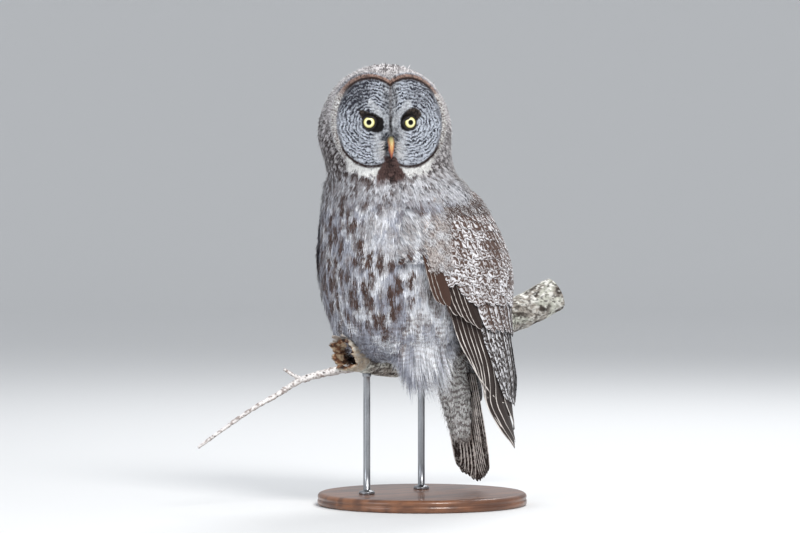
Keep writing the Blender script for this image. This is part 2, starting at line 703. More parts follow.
def grid_triangles(rows, columns, wrap=False):
    """Triangles of a grid of points, with its columns joined round if it wraps."""
    index = np.arange(rows * columns).reshape(rows, columns)
    after = np.roll(index, -1, axis=1)
    if not wrap:
        index, after = index[:, :-1], after[:, :-1]
    a, b, c, d = index[:-1], after[:-1], index[1:], after[1:]
    return np.stack([a, b, d, a, d, c], -1).reshape(-1, 3)


class Guide:
    """A surface that feathers are set on, its triangles facing out."""

    def __init__(self, points, triangles):
        self.points, self.triangles = points.reshape(-1, 3), triangles
        self.tree = BVHTree.FromPolygons(self.points.tolist(), triangles.tolist())
        corners = self.points[triangles]
        crossed = np.cross(corners[:, 1] - corners[:, 0], corners[:, 2] - corners[:, 0])
        self.areas = 0.5 * np.linalg.norm(crossed, axis=1)
        self.facing = unit(crossed)

    def nearest(self, places):
        """The surface's nearest places and its directions there."""
        found = [self.tree.find_nearest(Vector(place)) for place in np.asarray(places, float)]
        spots = np.array([hit[0] for hit in found])
        return spots, self.facing[[hit[2] for hit in found]]

    def scatter(self, spacing, keep=None, crowd=5.0):
        """Places at least the spacing apart, as many as the surface holds."""
        count = int(crowd * self.areas.sum() / spacing**2)
        chosen = draw.choice(len(self.areas), count, p=self.areas / self.areas.sum())
        first, second = draw.random((2, count, 1))
        flip = first + second > 1
        first, second = np.where(flip, 1 - first, first), np.where(flip, 1 - second, second)
        a, b, c = np.moveaxis(self.points[self.triangles[chosen]], 1, 0)
        places = a + first * (b - a) + second * (c - a)
        if keep is not None:
            places = places[keep(places)]
        return places[spread_out(places, spacing)]


def spread_out(places, spacing):
    """The numbers of the places that are at least the spacing from those kept before them."""
    cells, kept = {}, []
    keys = np.floor(places / spacing).astype(int).tolist()
    around = list(itertools.product((-1, 0, 1), repeat=3))
    spots = places.tolist()
    limit = spacing**2
    for number, (i, j, k) in enumerate(keys):
        x, y, z = spots[number]
        close = False
        for di, dj, dk in around:
            for px, py, pz in cells.get((i + di, j + dj, k + dk), ()):
                if (px - x) ** 2 + (py - y) ** 2 + (pz - z) ** 2 < limit:
                    close = True
                    break
            if close:
                break
        if not close:
            cells.setdefault((i, j, k), []).append((x, y, z))
            kept.append(number)
    return np.array(kept, int)


# Feathers
TIP_CROWDING = 0.72
Form = namedtuple(
    "Form", "length width strands sink lift loft round fray splay overlap lean streak steps hang"
)
DOWNY = Form(
    length=0.024, width=0.0060, strands=9, sink=0.0050, lift=0.0006, loft=0.0007, round=0.30,
    fray=0.16, splay=0.75, overlap=1.05, lean=0.40, streak=0.36, steps=4, hang=0.0,
)


def flattened(directions, normals):
    """Directions laid into the surface."""
    return unit(directions - normals * np.sum(directions * normals, axis=-1, keepdims=True))


def tufts(name, guide, spots, lies, form, look_at, length=1.0, width=1.0):
    """Many feathers in one mesh. Each is a fan of thin strands that follows the surface from its
    sunk root to its tip, and takes its colours from look_at."""
    roots, normals = guide.nearest(spots)
    falls = unit(lies)
    lies = flattened(lies, normals)
    hanging_out = flattened(normals, falls)
    count, strands, steps = len(roots), form.strands, form.steps
    lengths = form.length * length * draw.uniform(0.85, 1.15, count)
    widths = form.width * width * draw.uniform(0.9, 1.1, count)
    stations = np.linspace(0, 1, steps) ** TIP_CROWDING
    lines, outs = [roots], [normals]
    for station in stations[1:]:
        line, out = guide.nearest(roots + lies * (lengths * station)[:, None])
        free = roots + (falls + 0.10 * hanging_out) * (lengths * station)[:, None]
        lines.append(mix(line, free, form.hang * station))
        outs.append(unit(mix(out, hanging_out, min(1.0, 2 * form.hang * station))))
    lines, outs = np.stack(lines, 1), np.stack(outs, 1)
    steps_along = np.gradient(lines, axis=1)
    sides = unit(np.cross(steps_along, outs))
    across = np.linspace(-1, 1, strands) + draw.normal(0, 0.25 / strands, (count, strands))
    reach = 1 - form.round * across**2 + draw.uniform(-form.fray, form.fray, (count, strands))
    reach = np.clip(reach, 0.35, 1.15)
    share = np.broadcast_to(stations, (count, strands, steps)) * reach[..., None]
    # each strand's own line, read between the feather's stations
    spot = np.interp(share, stations, np.arange(steps)) + np.maximum(0, share - 1) / (1 - stations[-2])
    low = np.clip(spot.astype(int), 0, steps - 2)
    part = (spot - low)[..., None]
    row = np.arange(count)[:, None, None]
    line = lines[row, low] * (1 - part) + lines[row, low + 1] * part
    out = unit(outs[row, low] * (1 - part) + outs[row, low + 1] * part)
    side = unit(sides[row, low] * (1 - part) + sides[row, low + 1] * part)
    fan = 0.30 + (1.0 - 0.30) * np.sin(0.5 * np.pi * np.clip(share * 1.6, 0, 1))
    fan = fan * (1 - (1 - form.splay) * smoothstep(0.6, 1.0, share))
    loft = draw.exponential(form.loft, (count, strands, 1))
    rise = -form.sink + (form.sink + form.lift) * smoothstep(0.0, 0.75, share) + loft * share**2
    rise = rise - 0.0009 * across[..., None] ** 2 * share
    line = line + side * (across[..., None] * fan * widths[:, None, None])[..., None]
    line = line + out * rise[..., None]
    # ribbons: two edges at each station but the last, which is a point
    half = (widths / strands * form.overlap)[:, None, None, None]
    profile = np.interp(stations, (0, 0.5, 1), (0.75, 1.0, 0.7))[:-1]
    edge = side[:, :, :-1] * half * profile[:, None]
    left, right = line[:, :, :-1] - edge, line[:, :, :-1] + edge
    pairs = np.stack([left, right], 3).reshape(count, strands, 2 * (steps - 1), 3)
    points = np.concatenate([pairs, line[:, :, -1:]], 2)
    per = 2 * steps - 1
    shape = []
    for level in range(steps - 2):
        a = 2 * level
        shape += [(a, a + 1, a + 3), (a, a + 3, a + 2)]
    shape.append((per - 3, per - 2, per - 1))
    base = (np.arange(count * strands) * per)[:, None, None]
    piece = add_mesh(name, points, base + np.array(shape))

    def at_points(values):
        """Values at the stations, spread to the ribbons' points."""
        values = np.asarray(values)
        twice = np.repeat(values[:, :, :-1], 2, axis=2)
        return np.concatenate([twice, values[:, :, -1:]], 2)

    wide = np.broadcast_to(across[..., None], share.shape)
    feather = np.broadcast_to(draw.random((count, 1, 1)), share.shape)
    strand = np.broadcast_to(draw.random((count, strands, 1)), share.shape)
    tips = np.broadcast_to(lines[:, -1][:, None, None], line.shape)
    look = look_at(Place(line, tips, share, wide, feather, lengths[:, None, None]))
    tone = (0.92 + 0.16 * (feather - 0.5) + form.streak * (strand - 0.5))[..., None]
    tone = tone * (0.62 + 0.38 * smoothstep(0.1, 0.75, share))[..., None]
    look = look._replace(light=look.light * tone, dark=look.dark * tone)
    put_look(piece, Look(*(at_points(values) for values in look)))
    leans = draw.normal(0, form.lean, (count, strands, 1, 1)) * side
    put_normals(piece, unit(at_points(out + leans)))
    return piece, roots, at_points(wide), at_points(share), per * strands


def put_bake_map(piece, places_across, places_along, across, along, per):
    """The map for baking: each feather is a small patch at its root's place on the unwrapped skin."""
    spans = []
    for values in (places_across, places_along):
        low, high = values.min(), values.max()
        spans.append(0.01 + 0.975 * (values - low) / max(high - low, 1e-9))
    u = np.repeat(spans[0], per) + 0.0015 * np.ravel(across)
    v = np.repeat(spans[1], per) + 0.003 * (np.ravel(along) - 0.5)
    put_map(piece, "OFBake", u, v)


def turn_about_torso(places):
    return np.arctan2(places[:, 0], TORSO_Y - places[:, 1])


def turn_about_head(places):
    beside = places - np.array([0.0, HEAD_Y, 0.0])
    return np.arctan2(beside @ HEAD_LEFT, beside @ HEAD_FORWARD)


# Materials
def new_material(name):
    made = bpy.data.materials.new(name)
    made.use_nodes = True
    return made, made.node_tree.nodes, made.node_tree.links


def node(nodes, kind, **settings):
    made = nodes.new(kind)
    for key, value in settings.items():
        if key in made.inputs:
            made.inputs[key].default_value = value
        else:
            setattr(made, key, value)
    return made


def plumage_material():
    """Soft feathers: a light and a dark colour mixed by markings and wavy bars."""
    made, nodes, links = new_material("plumage")
    shader = nodes["Principled BSDF"]
    shader.inputs["Roughness"].default_value = 0.82
    shader.inputs["Specular IOR Level"].default_value = 0.18
    shader.inputs["Sheen Weight"].default_value = 0.12
    reads = {
        name: node(nodes, "ShaderNodeAttribute", attribute_name=name)
        for name in ("light", "dark", "share", "bars", "phase")
    }
    spot = node(nodes, "ShaderNodeTexCoord").outputs["Object"]
    wander = node(nodes, "ShaderNodeTexNoise", Scale=260.0, Detail=2.0)
    speck = node(nodes, "ShaderNodeTexNoise", Scale=950.0, Detail=1.0)
    links.new(spot, wander.inputs["Vector"])
    links.new(spot, speck.inputs["Vector"])
    shifted = node(nodes, "ShaderNodeMath", operation="MULTIPLY_ADD")
    shifted.inputs[1].default_value = 1.5
    links.new(wander.outputs["Fac"], shifted.inputs[0])
    links.new(reads["phase"].outputs["Fac"], shifted.inputs[2])
    turned = node(nodes, "ShaderNodeMath", operation="MULTIPLY")
    turned.inputs[1].default_value = 2 * math.pi
    links.new(shifted.outputs[0], turned.inputs[0])
    wave = node(nodes, "ShaderNodeMath", operation="SINE")
    links.new(turned.outputs[0], wave.inputs[0])
    sharp = node(nodes, "ShaderNodeMapRange", interpolation_type="SMOOTHSTEP")
    sharp.inputs["From Min"].default_value = -0.35
    sharp.inputs["From Max"].default_value = 0.55
    sharp.inputs["To Min"].default_value = -0.30
    sharp.inputs["To Max"].default_value = 0.70
    links.new(wave.outputs[0], sharp.inputs["Value"])
    barred = node(nodes, "ShaderNodeMath", operation="MULTIPLY_ADD")
    links.new(sharp.outputs[0], barred.inputs[0])
    links.new(reads["bars"].outputs["Fac"], barred.inputs[1])
    links.new(reads["share"].outputs["Fac"], barred.inputs[2])
    specked = node(nodes, "ShaderNodeMath", operation="MULTIPLY_ADD")
    specked.inputs[1].default_value = 0.45
    centred = node(nodes, "ShaderNodeMath", operation="SUBTRACT")
    centred.inputs[1].default_value = 0.5
    links.new(speck.outputs["Fac"], centred.inputs[0])
    links.new(centred.outputs[0], specked.inputs[0])
    links.new(barred.outputs[0], specked.inputs[2])
    specked.use_clamp = True
    mixed = node(nodes, "ShaderNodeMix", data_type="RGBA")
    links.new(specked.outputs[0], mixed.inputs["Factor"])
    links.new(reads["light"].outputs["Color"], mixed.inputs[6])
    links.new(reads["dark"].outputs["Color"], mixed.inputs[7])
    links.new(mixed.outputs[2], shader.inputs["Base Color"])
    return made


def dress(piece, material, slot, *replaced):
    """Gives a piece its material and ties it to the frame."""
    piece.data.materials.clear()
    piece.data.materials.append(material)
    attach(piece, "root")
    if replaced:
        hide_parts(*replaced)
    return piece


# Surfaces that the plumage is set on
BODY_LEVELS = 150
BODY_TURNS = 180


def body_grid(inset=None):
    span = np.linspace(0, 1, BODY_LEVELS)[:, None]
    z = TORSO_LOW + (HEAD_TOP - 0.0002 - TORSO_LOW) * np.sin(0.5 * np.pi * span)
    turns = np.linspace(0, 2 * np.pi, BODY_TURNS, endpoint=False)[None, :]
    points = body_point(turns, z)
    if inset is not None:
        down = np.gradient(points, axis=0)
        round_step = np.roll(points, -1, 1) - np.roll(points, 1, 1)
        normals = unit(np.cross(round_step, down))
        points = points - normals * inset(points)[..., None]
    return points


def closed_body(points):
    """The body's grid with its bottom and crown closed."""
    rows, columns = points.shape[:2]
    low, high = points[0].mean(0), points[-1].mean(0)
    triangles = grid_triangles(rows, columns, wrap=True)
    ring = np.arange(columns)
    after = np.roll(ring, -1)
    bottom = np.stack([np.full(columns, rows * columns), after, ring], 1)
    last = (rows - 1) * columns
    top = np.stack([np.full(columns, rows * columns + 1), last + ring, last + after], 1)
    everything = np.concatenate([points.reshape(-1, 3), [low, high]])
    return everything, np.concatenate([triangles, bottom, top])


def wing_grid(side, lift=0.0, low=0.062, high=0.4495, levels=110, turns=70):
    z = np.linspace(low, high, levels)[:, None]
    first = leading_edge(z)
    spread = np.linspace(0, 1, turns)[None, :]
    points = wing_point(side, first + (WING_TRAILING - first) * spread, z, lift)
    triangles = grid_triangles(levels, turns)
    return points, triangles if side > 0 else triangles[:, ::-1]


plumage = plumage_material()
body_guide = Guide(*closed_body(body_grid()))


def coat_depth(places):
    """How deep the skin lies under the plumage's surface."""
    beside = places - np.array([0.0, HEAD_Y, 0.0])
    forward, across = beside @ HEAD_FORWARD, beside @ HEAD_LEFT
    z = places[..., 2]
    face = smoothstep(1.15, 0.95, disc_reach(across, z)) * smoothstep(0.0, 0.03, forward)
    return mix(0.0070, 0.0022, face)


def head_axes(places):
    beside = places - np.array([0.0, HEAD_Y, 0.0])
    return beside @ HEAD_LEFT, beside @ HEAD_FORWARD


def body_lie(places):
    """Which way the feathers point: out from each eye, back over the crown, and down the body."""
    across, forward = head_axes(places)
    z = places[:, 2]
    up = z - EYE_Z
    side = np.sign(across)
    outward = (across - side * EYE_ACROSS)[:, None] * HEAD_LEFT + up[:, None] * UP
    face = smoothstep(1.25, 1.0, disc_reach(across, z)) * smoothstep(0.0, 0.02, forward)
    rise = smoothstep(0.50, 0.60, z)[:, None]
    away = -HEAD_FORWARD * (0.25 + 0.75 * rise) - UP * (1.0 - 0.55 * rise)
    away = away + HEAD_LEFT * (0.35 * np.clip(across / 0.09, -1, 1) * smoothstep(0.50, 0.56, z))[:, None]
    head = unit(mix_rows(away, unit(outward), face))
    down = np.broadcast_to(-UP, head.shape)
    # the feathers under the chin fan out a little as they fall
    fanned = down + HEAD_LEFT * (0.5 * np.clip(across / 0.05, -1, 1) * smoothstep(0.0, 0.03, forward))[:, None]
    body = mix_rows(down, fanned, smoothstep(0.43, 0.47, z))
    return unit(mix_rows(body, head, smoothstep(0.470, 0.500, z)))


def region(low, high):
    """Keeps places between two heights."""
    return lambda places: (places[:, 2] >= low) & (places[:, 2] < high)


def on_disc(places, grow=1.0):
    across, forward = head_axes(places)
    return (disc_reach(across, places[:, 2]) < grow) & (forward > 0.0)


def clear_of_eyes(places):
    across, _ = head_axes(places)
    return np.hypot(np.abs(across) - EYE_ACROSS, places[:, 2] - EYE_Z) > 0.0100


def clear_of_bill(places):
    across, forward = head_axes(places)
    z = places[:, 2]
    return ~((np.abs(across) < 0.0042) & (z < 0.5255) & (z > 0.500) & (forward > 0.0))


def body_coat(name, spacing, keep, form, slot, about_head=False, lie=body_lie, length=None):
    spots = body_guide.scatter(spacing, keep)
    scale = 1.0 if length is None else length(spots)
    piece, roots, wide, along, per = tufts(name, body_guide, spots, lie(spots), form, body_look, scale)
    turns = turn_about_head(roots) if about_head else turn_about_torso(roots)
    put_bake_map(piece, turns, roots[:, 2], wide, along, per)
    print(name, len(roots), "feathers", len(piece.data.polygons), "triangles")
    return dress(piece, plumage, slot)


def make_body_coat():
    face = DOWNY._replace(length=0.0068, width=0.0017, strands=5, sink=0.0014, lift=0.0003, loft=0.0003, fray=0.2)
    body_coat(
        "face_plumage", 0.00155,
        lambda p: on_disc(p, 1.0) & clear_of_eyes(p) & clear_of_bill(p) & (p[:, 2] > 0.47),
        face, "face_feathers", about_head=True,
    )
    rim = DOWNY._replace(length=0.0062, width=0.0015, strands=5, sink=0.0016, lift=0.0012, loft=0.0007, fray=0.2)
    body_coat(
        "rim_plumage", 0.0015,
        lambda p: on_disc(p, 1.14) & ~on_disc(p, 0.92) & (p[:, 2] > 0.47),
        rim, "face_feathers", about_head=True,
    )
    crown = DOWNY._replace(length=0.0105, width=0.0030, strands=6, sink=0.0030, lift=0.0007, loft=0.0007)
    body_coat(
        "head_plumage", 0.0027,
        lambda p: ~on_disc(p, 1.08) & (p[:, 2] > 0.484),
        crown, "body_feathers", about_head=True,
    )
    collar = DOWNY._replace(length=0.020, width=0.0044, strands=8, loft=0.0010)
    body_coat("neck_plumage", 0.0034, region(0.424, 0.486), collar, "body_feathers")

    def front(places):
        return np.abs(turn_about_torso(places)) < math.radians(112)

    def beside_wing(side, low):
        def keep(places):
            turns, z = side * np.degrees(turn_about_torso(places)), places[:, 2]
            first = leading_edge(z)
            return (turns > first - 17) & (turns < first + 3) & (z > low) & (z < 0.446)

        return keep

    def above_wings(places):
        turns, z = np.abs(np.degrees(turn_about_torso(places))), places[:, 2]
        return (turns > 46) & (turns < 168) & (z > 0.442) & (z < 0.474)

    def towards_wing(places):
        turns = turn_about_torso(places)
        side = np.sign(turns)
        back = np.stack([side * np.cos(turns) * side, side * np.sin(turns), 0 * turns], -1)
        pull = 0.5 * smoothstep(0.47, 0.43, places[:, 2])
        return unit(-UP + back * pull[:, None])

    def skirt_length(places):
        rightward = places @ CAMERA_RIGHT
        return mix(0.12, 1.30, smoothstep(-0.046, -0.016, rightward) * smoothstep(0.052, 0.030, rightward))

    breast = DOWNY._replace(length=0.026, width=0.0058, strands=9, loft=0.0010)
    body_coat("breast_plumage", 0.0038, lambda p: region(0.330, 0.430)(p) & front(p), breast, "body_feathers")
    body_coat("belly_plumage", 0.0038, lambda p: region(0.214, 0.334)(p) & front(p), breast, "body_feathers")
    body_coat("back_plumage", 0.0056, lambda p: region(0.214, 0.430)(p) & ~front(p), breast, "body_feathers")
    bridge = DOWNY._replace(length=0.028, width=0.0056, strands=9, lift=0.0105, loft=0.0010)
    low_bridge = bridge._replace(lift=0.0045)
    mantle = bridge._replace(length=0.019, lift=0.0040)
    body_coat(
        "side_left_plumage", 0.0042, beside_wing(1, 0.356), bridge, "body_feathers", lie=towards_wing,
        length=lambda p: mix(0.35, 1.0, smoothstep(0.356, 0.392, p[:, 2])),
    )
    body_coat("side_right_plumage", 0.0042, beside_wing(-1, 0.300), low_bridge, "body_feathers", lie=towards_wing)
    body_coat("mantle_plumage", 0.0040, above_wings, mantle, "body_feathers", lie=towards_wing)
    skirt = DOWNY._replace(length=0.036, width=0.0048, strands=9, lift=0.0016, loft=0.0020, fray=0.24, hang=1.0)
    body_coat(
        "belly_skirt", 0.0040, lambda p: region(0.2100, 0.246)(p) & front(p), skirt, "body_feathers",
        lie=lambda p: np.broadcast_to(-UP, p.shape), length=skirt_length,
    )


# Long feathers
# A vane's edges, as the share of its half width at a share of its length
LONG_OUTLINE = (
    (0.0, 0.55),
    (0.15, 0.78),
    (0.35, 0.95),
    (0.70, 1.0),
    (0.86, 0.86),
    (0.94, 0.62),
    (0.98, 0.36),
    (1.0, 0.10),
)
SHORT_OUTLINE = (
    (0.0, 0.60),
    (0.30, 0.86),
    (0.60, 1.0),
    (0.82, 0.88),
    (0.93, 0.60),
    (0.98, 0.34),
    (1.0, 0.10),
)
ACROSS = (-1.0, -0.93, -0.80, -0.55, -0.28, -0.07, 0.0, 0.07, 0.28, 0.55, 0.80, 0.93, 1.0)
VANE_THICK = 0.0005
VANE_TILT = 0.0013
VANE_ARCH = 0.0005
SHAFT_RIDGE = 0.0004

Tier = namedtuple(
    "Tier",
    "count root_turns root_heights tip_turns tip_heights half_width lifts bow swing outline stations",
)
PRIMARIES = Tier(
    8, (80, 106), (0.302, 0.296), (150, 157, 162, 164, 166, 167, 168),
    (0.147, 0.122, 0.100, 0.082, 0.075, 0.084, 0.100), 0.0105, (-0.0070, -0.0046), -0.006, (-13.0, -1.0),
    LONG_OUTLINE, 26,
)
SECONDARIES = Tier(
    13, (106, 160), (0.292, 0.300), (152, 169), (0.152, 0.140, 0.158), 0.0115,
    (-0.0062, -0.0024), -0.005, (-6.0, 0.0), LONG_OUTLINE, 24,
)
PRIMARY_COVERTS = Tier(
    5, (72, 88), (0.338, 0.330), (86, 106), (0.276, 0.256), 0.0092, (-0.0045, -0.0014), -0.004, (0.0, 0.0),
    SHORT_OUTLINE, 16,
)
GREATER_COVERTS = Tier(
    12, (98, 160), (0.340, 0.336), (114, 168), (0.254, 0.236), 0.0112, (-0.0060, -0.0012),
    -0.003, (0.0, 0.0), SHORT_OUTLINE, 16,
)
ALULA = Tier(
    3, (61, 66), (0.366, 0.358), (70.5, 77), (0.293, 0.291), 0.0088, (-0.0020, 0.0022), 0.0, (0.0, 0.0),
    SHORT_OUTLINE, 16,
)
FEATHER_STRAY_TURN = 0.7
FAR_WING_NARROW = 0.74
FEATHER_STRAY_HEIGHT = 0.0030


def evenly(values, shares):
    """Values at shares of the way along evenly spaced ones."""
    return np.interp(shares, np.linspace(0, 1, len(values)), values)


def wing_frames(side, turns, z, lifts):
    """Places on a wing, and the directions out of it."""
    places = wing_point(side, turns, z, lifts)
    round_step = wing_point(side, turns + 0.5, z, lifts) - wing_point(side, turns - 0.5, z, lifts)
    up_step = wing_point(side, turns, z + 0.002, lifts) - wing_point(side, turns, z - 0.002, lifts)
    return places, unit(np.cross(round_step, up_step)) * side


def vanes(name, places, outs, side, half_widths, outline, look_at, tilt=VANE_TILT, arch=VANE_ARCH, columns=ACROSS):
    """Many closed thin feathers in one mesh, from lines of places that are each a row of stations.
    The tilt raises the edge that is left open by the next feather."""
    count, stations = places.shape[:2]
    shares = np.linspace(0, 1, stations)
    across = np.array(columns)
    wide = read_table(outline, shares)[0]
    sides = unit(np.cross(np.gradient(places, axis=1), outs)) * side
    reach = np.asarray(half_widths)[:, None, None] * wide[:, None] * across
    ridge = SHAFT_RIDGE * np.exp(-((across / 0.06) ** 2))
    tilts = np.broadcast_to(tilt, count)[:, None, None]
    rise = arch * wide[:, None] * (1 - across**2) + tilts * wide[:, None] * across + ridge
    # the vane's edges frayed into a few notches
    seeds = np.arange(count)[:, None, None]
    notch = noise(np.stack(np.broadcast_arrays(30.0 * shares[:, None], 3.0 * across, 17.0 * seeds), -1), 1.0)
    reach = reach * (1 + 0.05 * notch * np.abs(across))
    spots = places[:, :, None] + sides[:, :, None] * reach[..., None] + outs[:, :, None] * rise[..., None]
    # barbs sweep towards the tip at the edges
    along = np.gradient(places, axis=1)[:, :, None]
    spots = spots + along * (0.5 * np.abs(across) ** 1.5 * (1 - shares[:, None] ** 6))[..., None]
    under = spots - outs[:, :, None] * (VANE_THICK * (1 - 0.6 * np.abs(across)))[:, None]
    lanes = len(across)
    loop = np.concatenate([spots, under[:, :, ::-1]], 2)
    ring = 2 * lanes
    skin = grid_triangles(stations, ring, wrap=True)
    caps = []
    for row, turn in ((0, 1), (stations - 1, -1)):
        for k in range(lanes - 1):
            a, b = row * ring + k, row * ring + k + 1
            c, d = row * ring + ring - 1 - k, row * ring + ring - 2 - k
            caps += [(a, c, b)[::turn], (b, c, d)[::turn]]
    triangles = np.concatenate([skin[:, ::-1], np.array(caps)])
    if side < 0:
        triangles = triangles[:, ::-1]
    per = stations * ring
    base = (np.arange(count) * per)[:, None, None]
    piece = add_mesh(name, loop, base + triangles)
    flat_across = np.concatenate([across, across[::-1]])
    shape = (count, stations, ring)
    wide_at = np.broadcast_to(flat_across, shape)
    along_at = np.broadcast_to(shares[:, None], shape)
    chance = np.broadcast_to(draw.random((count, 1, 1)), shape)
    tips = np.broadcast_to(places[:, -1][:, None, None], (*shape, 3))
    lengths = np.linalg.norm(np.diff(places, axis=1), axis=-1).sum(1)[:, None, None]
    put_look(piece, look_at(Place(loop, tips, along_at, wide_at, chance, lengths)))
    bake_columns(piece, along_at, wide_at)
    return piece


def bake_columns(piece, along, across):
    """The map for baking long feathers: each is a strip of its own, in rows of a sheet."""
    count = along.shape[0]
    rows = max(1, math.ceil(math.sqrt(count / 6)))
    per_row = math.ceil(count / rows)
    number = np.arange(count)[:, None, None]
    column, row = number % per_row, number // per_row
    points = across.shape[2]
    under = np.arange(points) >= points // 2
    u = (column + 0.25 + 0.20 * across + 0.5 * under) / per_row
    v = (row + 0.03 + 0.94 * along) / rows
    put_map(piece, "OFBake", u, v)


def wing_vanes(name, side, tier, look_at):
    """A row of overlapping feathers, from the wing's leading edge to its trailing edge."""
    shares = np.linspace(0, 1, tier.count)
    stray = draw.uniform(-1, 1, (2, tier.count))
    root_turns, root_z = evenly(tier.root_turns, shares), evenly(tier.root_heights, shares)
    tip_turns = evenly(tier.tip_turns, shares) + FEATHER_STRAY_TURN * stray[0]
    tip_z = evenly(tier.tip_heights, shares) + FEATHER_STRAY_HEIGHT * stray[1]
    along = np.linspace(0, 1, tier.stations)
    turns = mix(root_turns[:, None], tip_turns[:, None], along)
    if side > 0:
        turns = turns + evenly(tier.swing, shares)[:, None] * np.sin(np.pi * along)
    z = mix(root_z[:, None], tip_z[:, None], along) + tier.bow * np.sin(np.pi * along)
    step = 0.00025 * np.arange(tier.count)[:, None]
    lifts = mix(tier.lifts[0], tier.lifts[1] + step, along)
    places, outs = wing_frames(side, turns, z, lifts)
    half_widths = tier.half_width * (1.0 if side > 0 else FAR_WING_NARROW) * draw.uniform(0.94, 1.06, tier.count)
    piece = vanes(name, places, outs, side, half_widths, tier.outline, look_at)
    return dress(piece, plumage, "wing_feathers")


def flight_look(tone, edge_reach, dim_bars, edging=1.40):
    """Dark vanes with a pale dotted front edge, and dim bars across."""

    def look_at(place):
        phase = place.along * place.length / 0.015 + place.chance
        look = plain_look(FLIGHT_PALE, tone, 0.0, dim_bars, phase)
        edge = smoothstep(1 - edge_reach, 1 - 0.5 * edge_reach, place.across)
        dots = 0.72 + 0.28 * np.sin(2 * np.pi * place.along * place.length / 0.0036 + 6 * place.chance)
        grown = 0.25 + 0.75 * smoothstep(0.05, 0.30, place.along)
        return look._replace(share=1.14 - edging * edge * dots * grown)

    return look_at


def mottled_look(light, dark, share, bars, period, edge=0.0, shaft=0.45):
    """Zigzag bars across the vane, with a dark streak along the shaft and a pale front edge."""

    def look_at(place):
        chevron = 1.1 * np.abs(place.across) + 1.0 * noise(place.points, 120.0, 54.0)
        phase = place.along * place.length / period + chevron + 3 * place.chance
        look = plain_look(light, dark, share, bars, phase)
        middle = smoothstep(0.34, 0.10, np.abs(place.across)) * smoothstep(0.98, 0.8, place.along)
        pale = edge * smoothstep(0.62, 0.95, place.across)
        patch = 0.25 * noise(place.tips, 85.0, 51.0) + 0.25 * (place.chance - 0.5)
        return look._replace(share=look.share + shaft * middle + patch - pale)

    return look_at


def covert_look(side):
    """White zigzags on grey-brown, brown patches and dark shafts; paler at the front of the shoulder."""

    def look_at(place):
        turns = wing_turns(side, place.tips.reshape(-1, 3)).reshape(place.along.shape)
        z = place.tips[..., 2]
        look = mottled_look(COVERT_WHITE, BACK_DARK, 0.46, 0.80, 0.0092)(place)
        patch = smoothstep(0.12, 0.40, noise(place.tips * np.array([1.0, 1.0, 0.6]), 58.0, 55.0))
        streaked = smoothstep(0.345, 0.375, z) * smoothstep(72, 86, turns)
        middle = smoothstep(0.60, 0.25, np.abs(place.across)) * smoothstep(0.15, 0.50, place.chance)
        look = look._replace(share=look.share - 0.12 + 0.34 * patch + (0.14 + 0.50 * streaked) * middle)
        front = smoothstep(90, 70, turns) * smoothstep(0.318, 0.350, z)
        soft = smoothstep(-0.2, 0.5, noise(place.points, 90.0, 53.0))
        tan_light = mix_rows(SHOULDER_TAN, COVERT_WHITE, 0.35 + 0.65 * soft)
        tan = Look(tan_light, look.dark, -0.04 + 0.5 * (place.chance - 0.5), 0.62, look.phase)
        return blend_looks(look, tan, 0.75 * front)

    return look_at


COVERT_COLUMNS = (-1.0, -0.72, -0.38, -0.10, 0.0, 0.10, 0.38, 0.72, 1.0)
COVERT_ROWS = 12
COVERT_TIPS = (0.292, 0.437)
COVERT_LENGTHS = (0.040, 0.022)
COVERT_HALF_WIDTHS = (0.0088, 0.0066)
COVERT_STEP = 0.0098
# The turn where the coverts begin, by the height of their tips: the feathers in front show bare
COVERT_FRONT = (
    (0.280, 102.0), (0.293, 93.0), (0.307, 83.0), (0.320, 76.5), (0.338, 70.0), (0.352, 66.0), (0.437, 66.0),
)


def wing_rows(name, side):
    """Rows of coverts and scapulars that lie like tiles, from the arm up to the shoulder."""
    lines, directions, widths = [], [], []
    for row in range(COVERT_ROWS):
        share = row / (COVERT_ROWS - 1)
        tip_z = mix(*COVERT_TIPS, share)
        length, half = mix(*COVERT_LENGTHS, share), mix(*COVERT_HALF_WIDTHS, share)
        first = leading_edge(min(tip_z + 0.5 * length, 0.446)) + 1.0
        first = max(first, float(read_table(COVERT_FRONT, tip_z)[0]))
        count = int(0.128 * math.radians(WING_TRAILING - first) / COVERT_STEP)
        place = (np.arange(count) + 0.5 * (row % 2)) / count
        turns = first + (WING_TRAILING - first) * place + draw.uniform(-1.1, 1.1, count)
        z = tip_z - 0.012 * place + draw.uniform(-0.0028, 0.0028, count)
        along = np.linspace(0, 1, 10)
        tops = np.minimum(z + length, 0.4485)
        heights = mix(tops[:, None], z[:, None], along)
        drift = (3.0 + 6.0 * (1 - share)) * (along - 0.5)
        lifts = mix(-0.0045, 0.0000, along**0.8) + 0.00012 * np.arange(count)[:, None]
        places, outs = wing_frames(side, turns[:, None] + drift, heights, lifts)
        lines.append(places)
        directions.append(outs)
        widths.append(half * draw.uniform(0.88, 1.12, count))
    piece = vanes(
        f"{name}_coverts", np.concatenate(lines), np.concatenate(directions), side,
        np.concatenate(widths), SHORT_OUTLINE, covert_look(side), tilt=0.0004, arch=0.0008,
        columns=COVERT_COLUMNS,
    )
    print(name, len(piece.data.polygons), "covert triangles")
    return dress(piece, plumage, "wing_feathers")


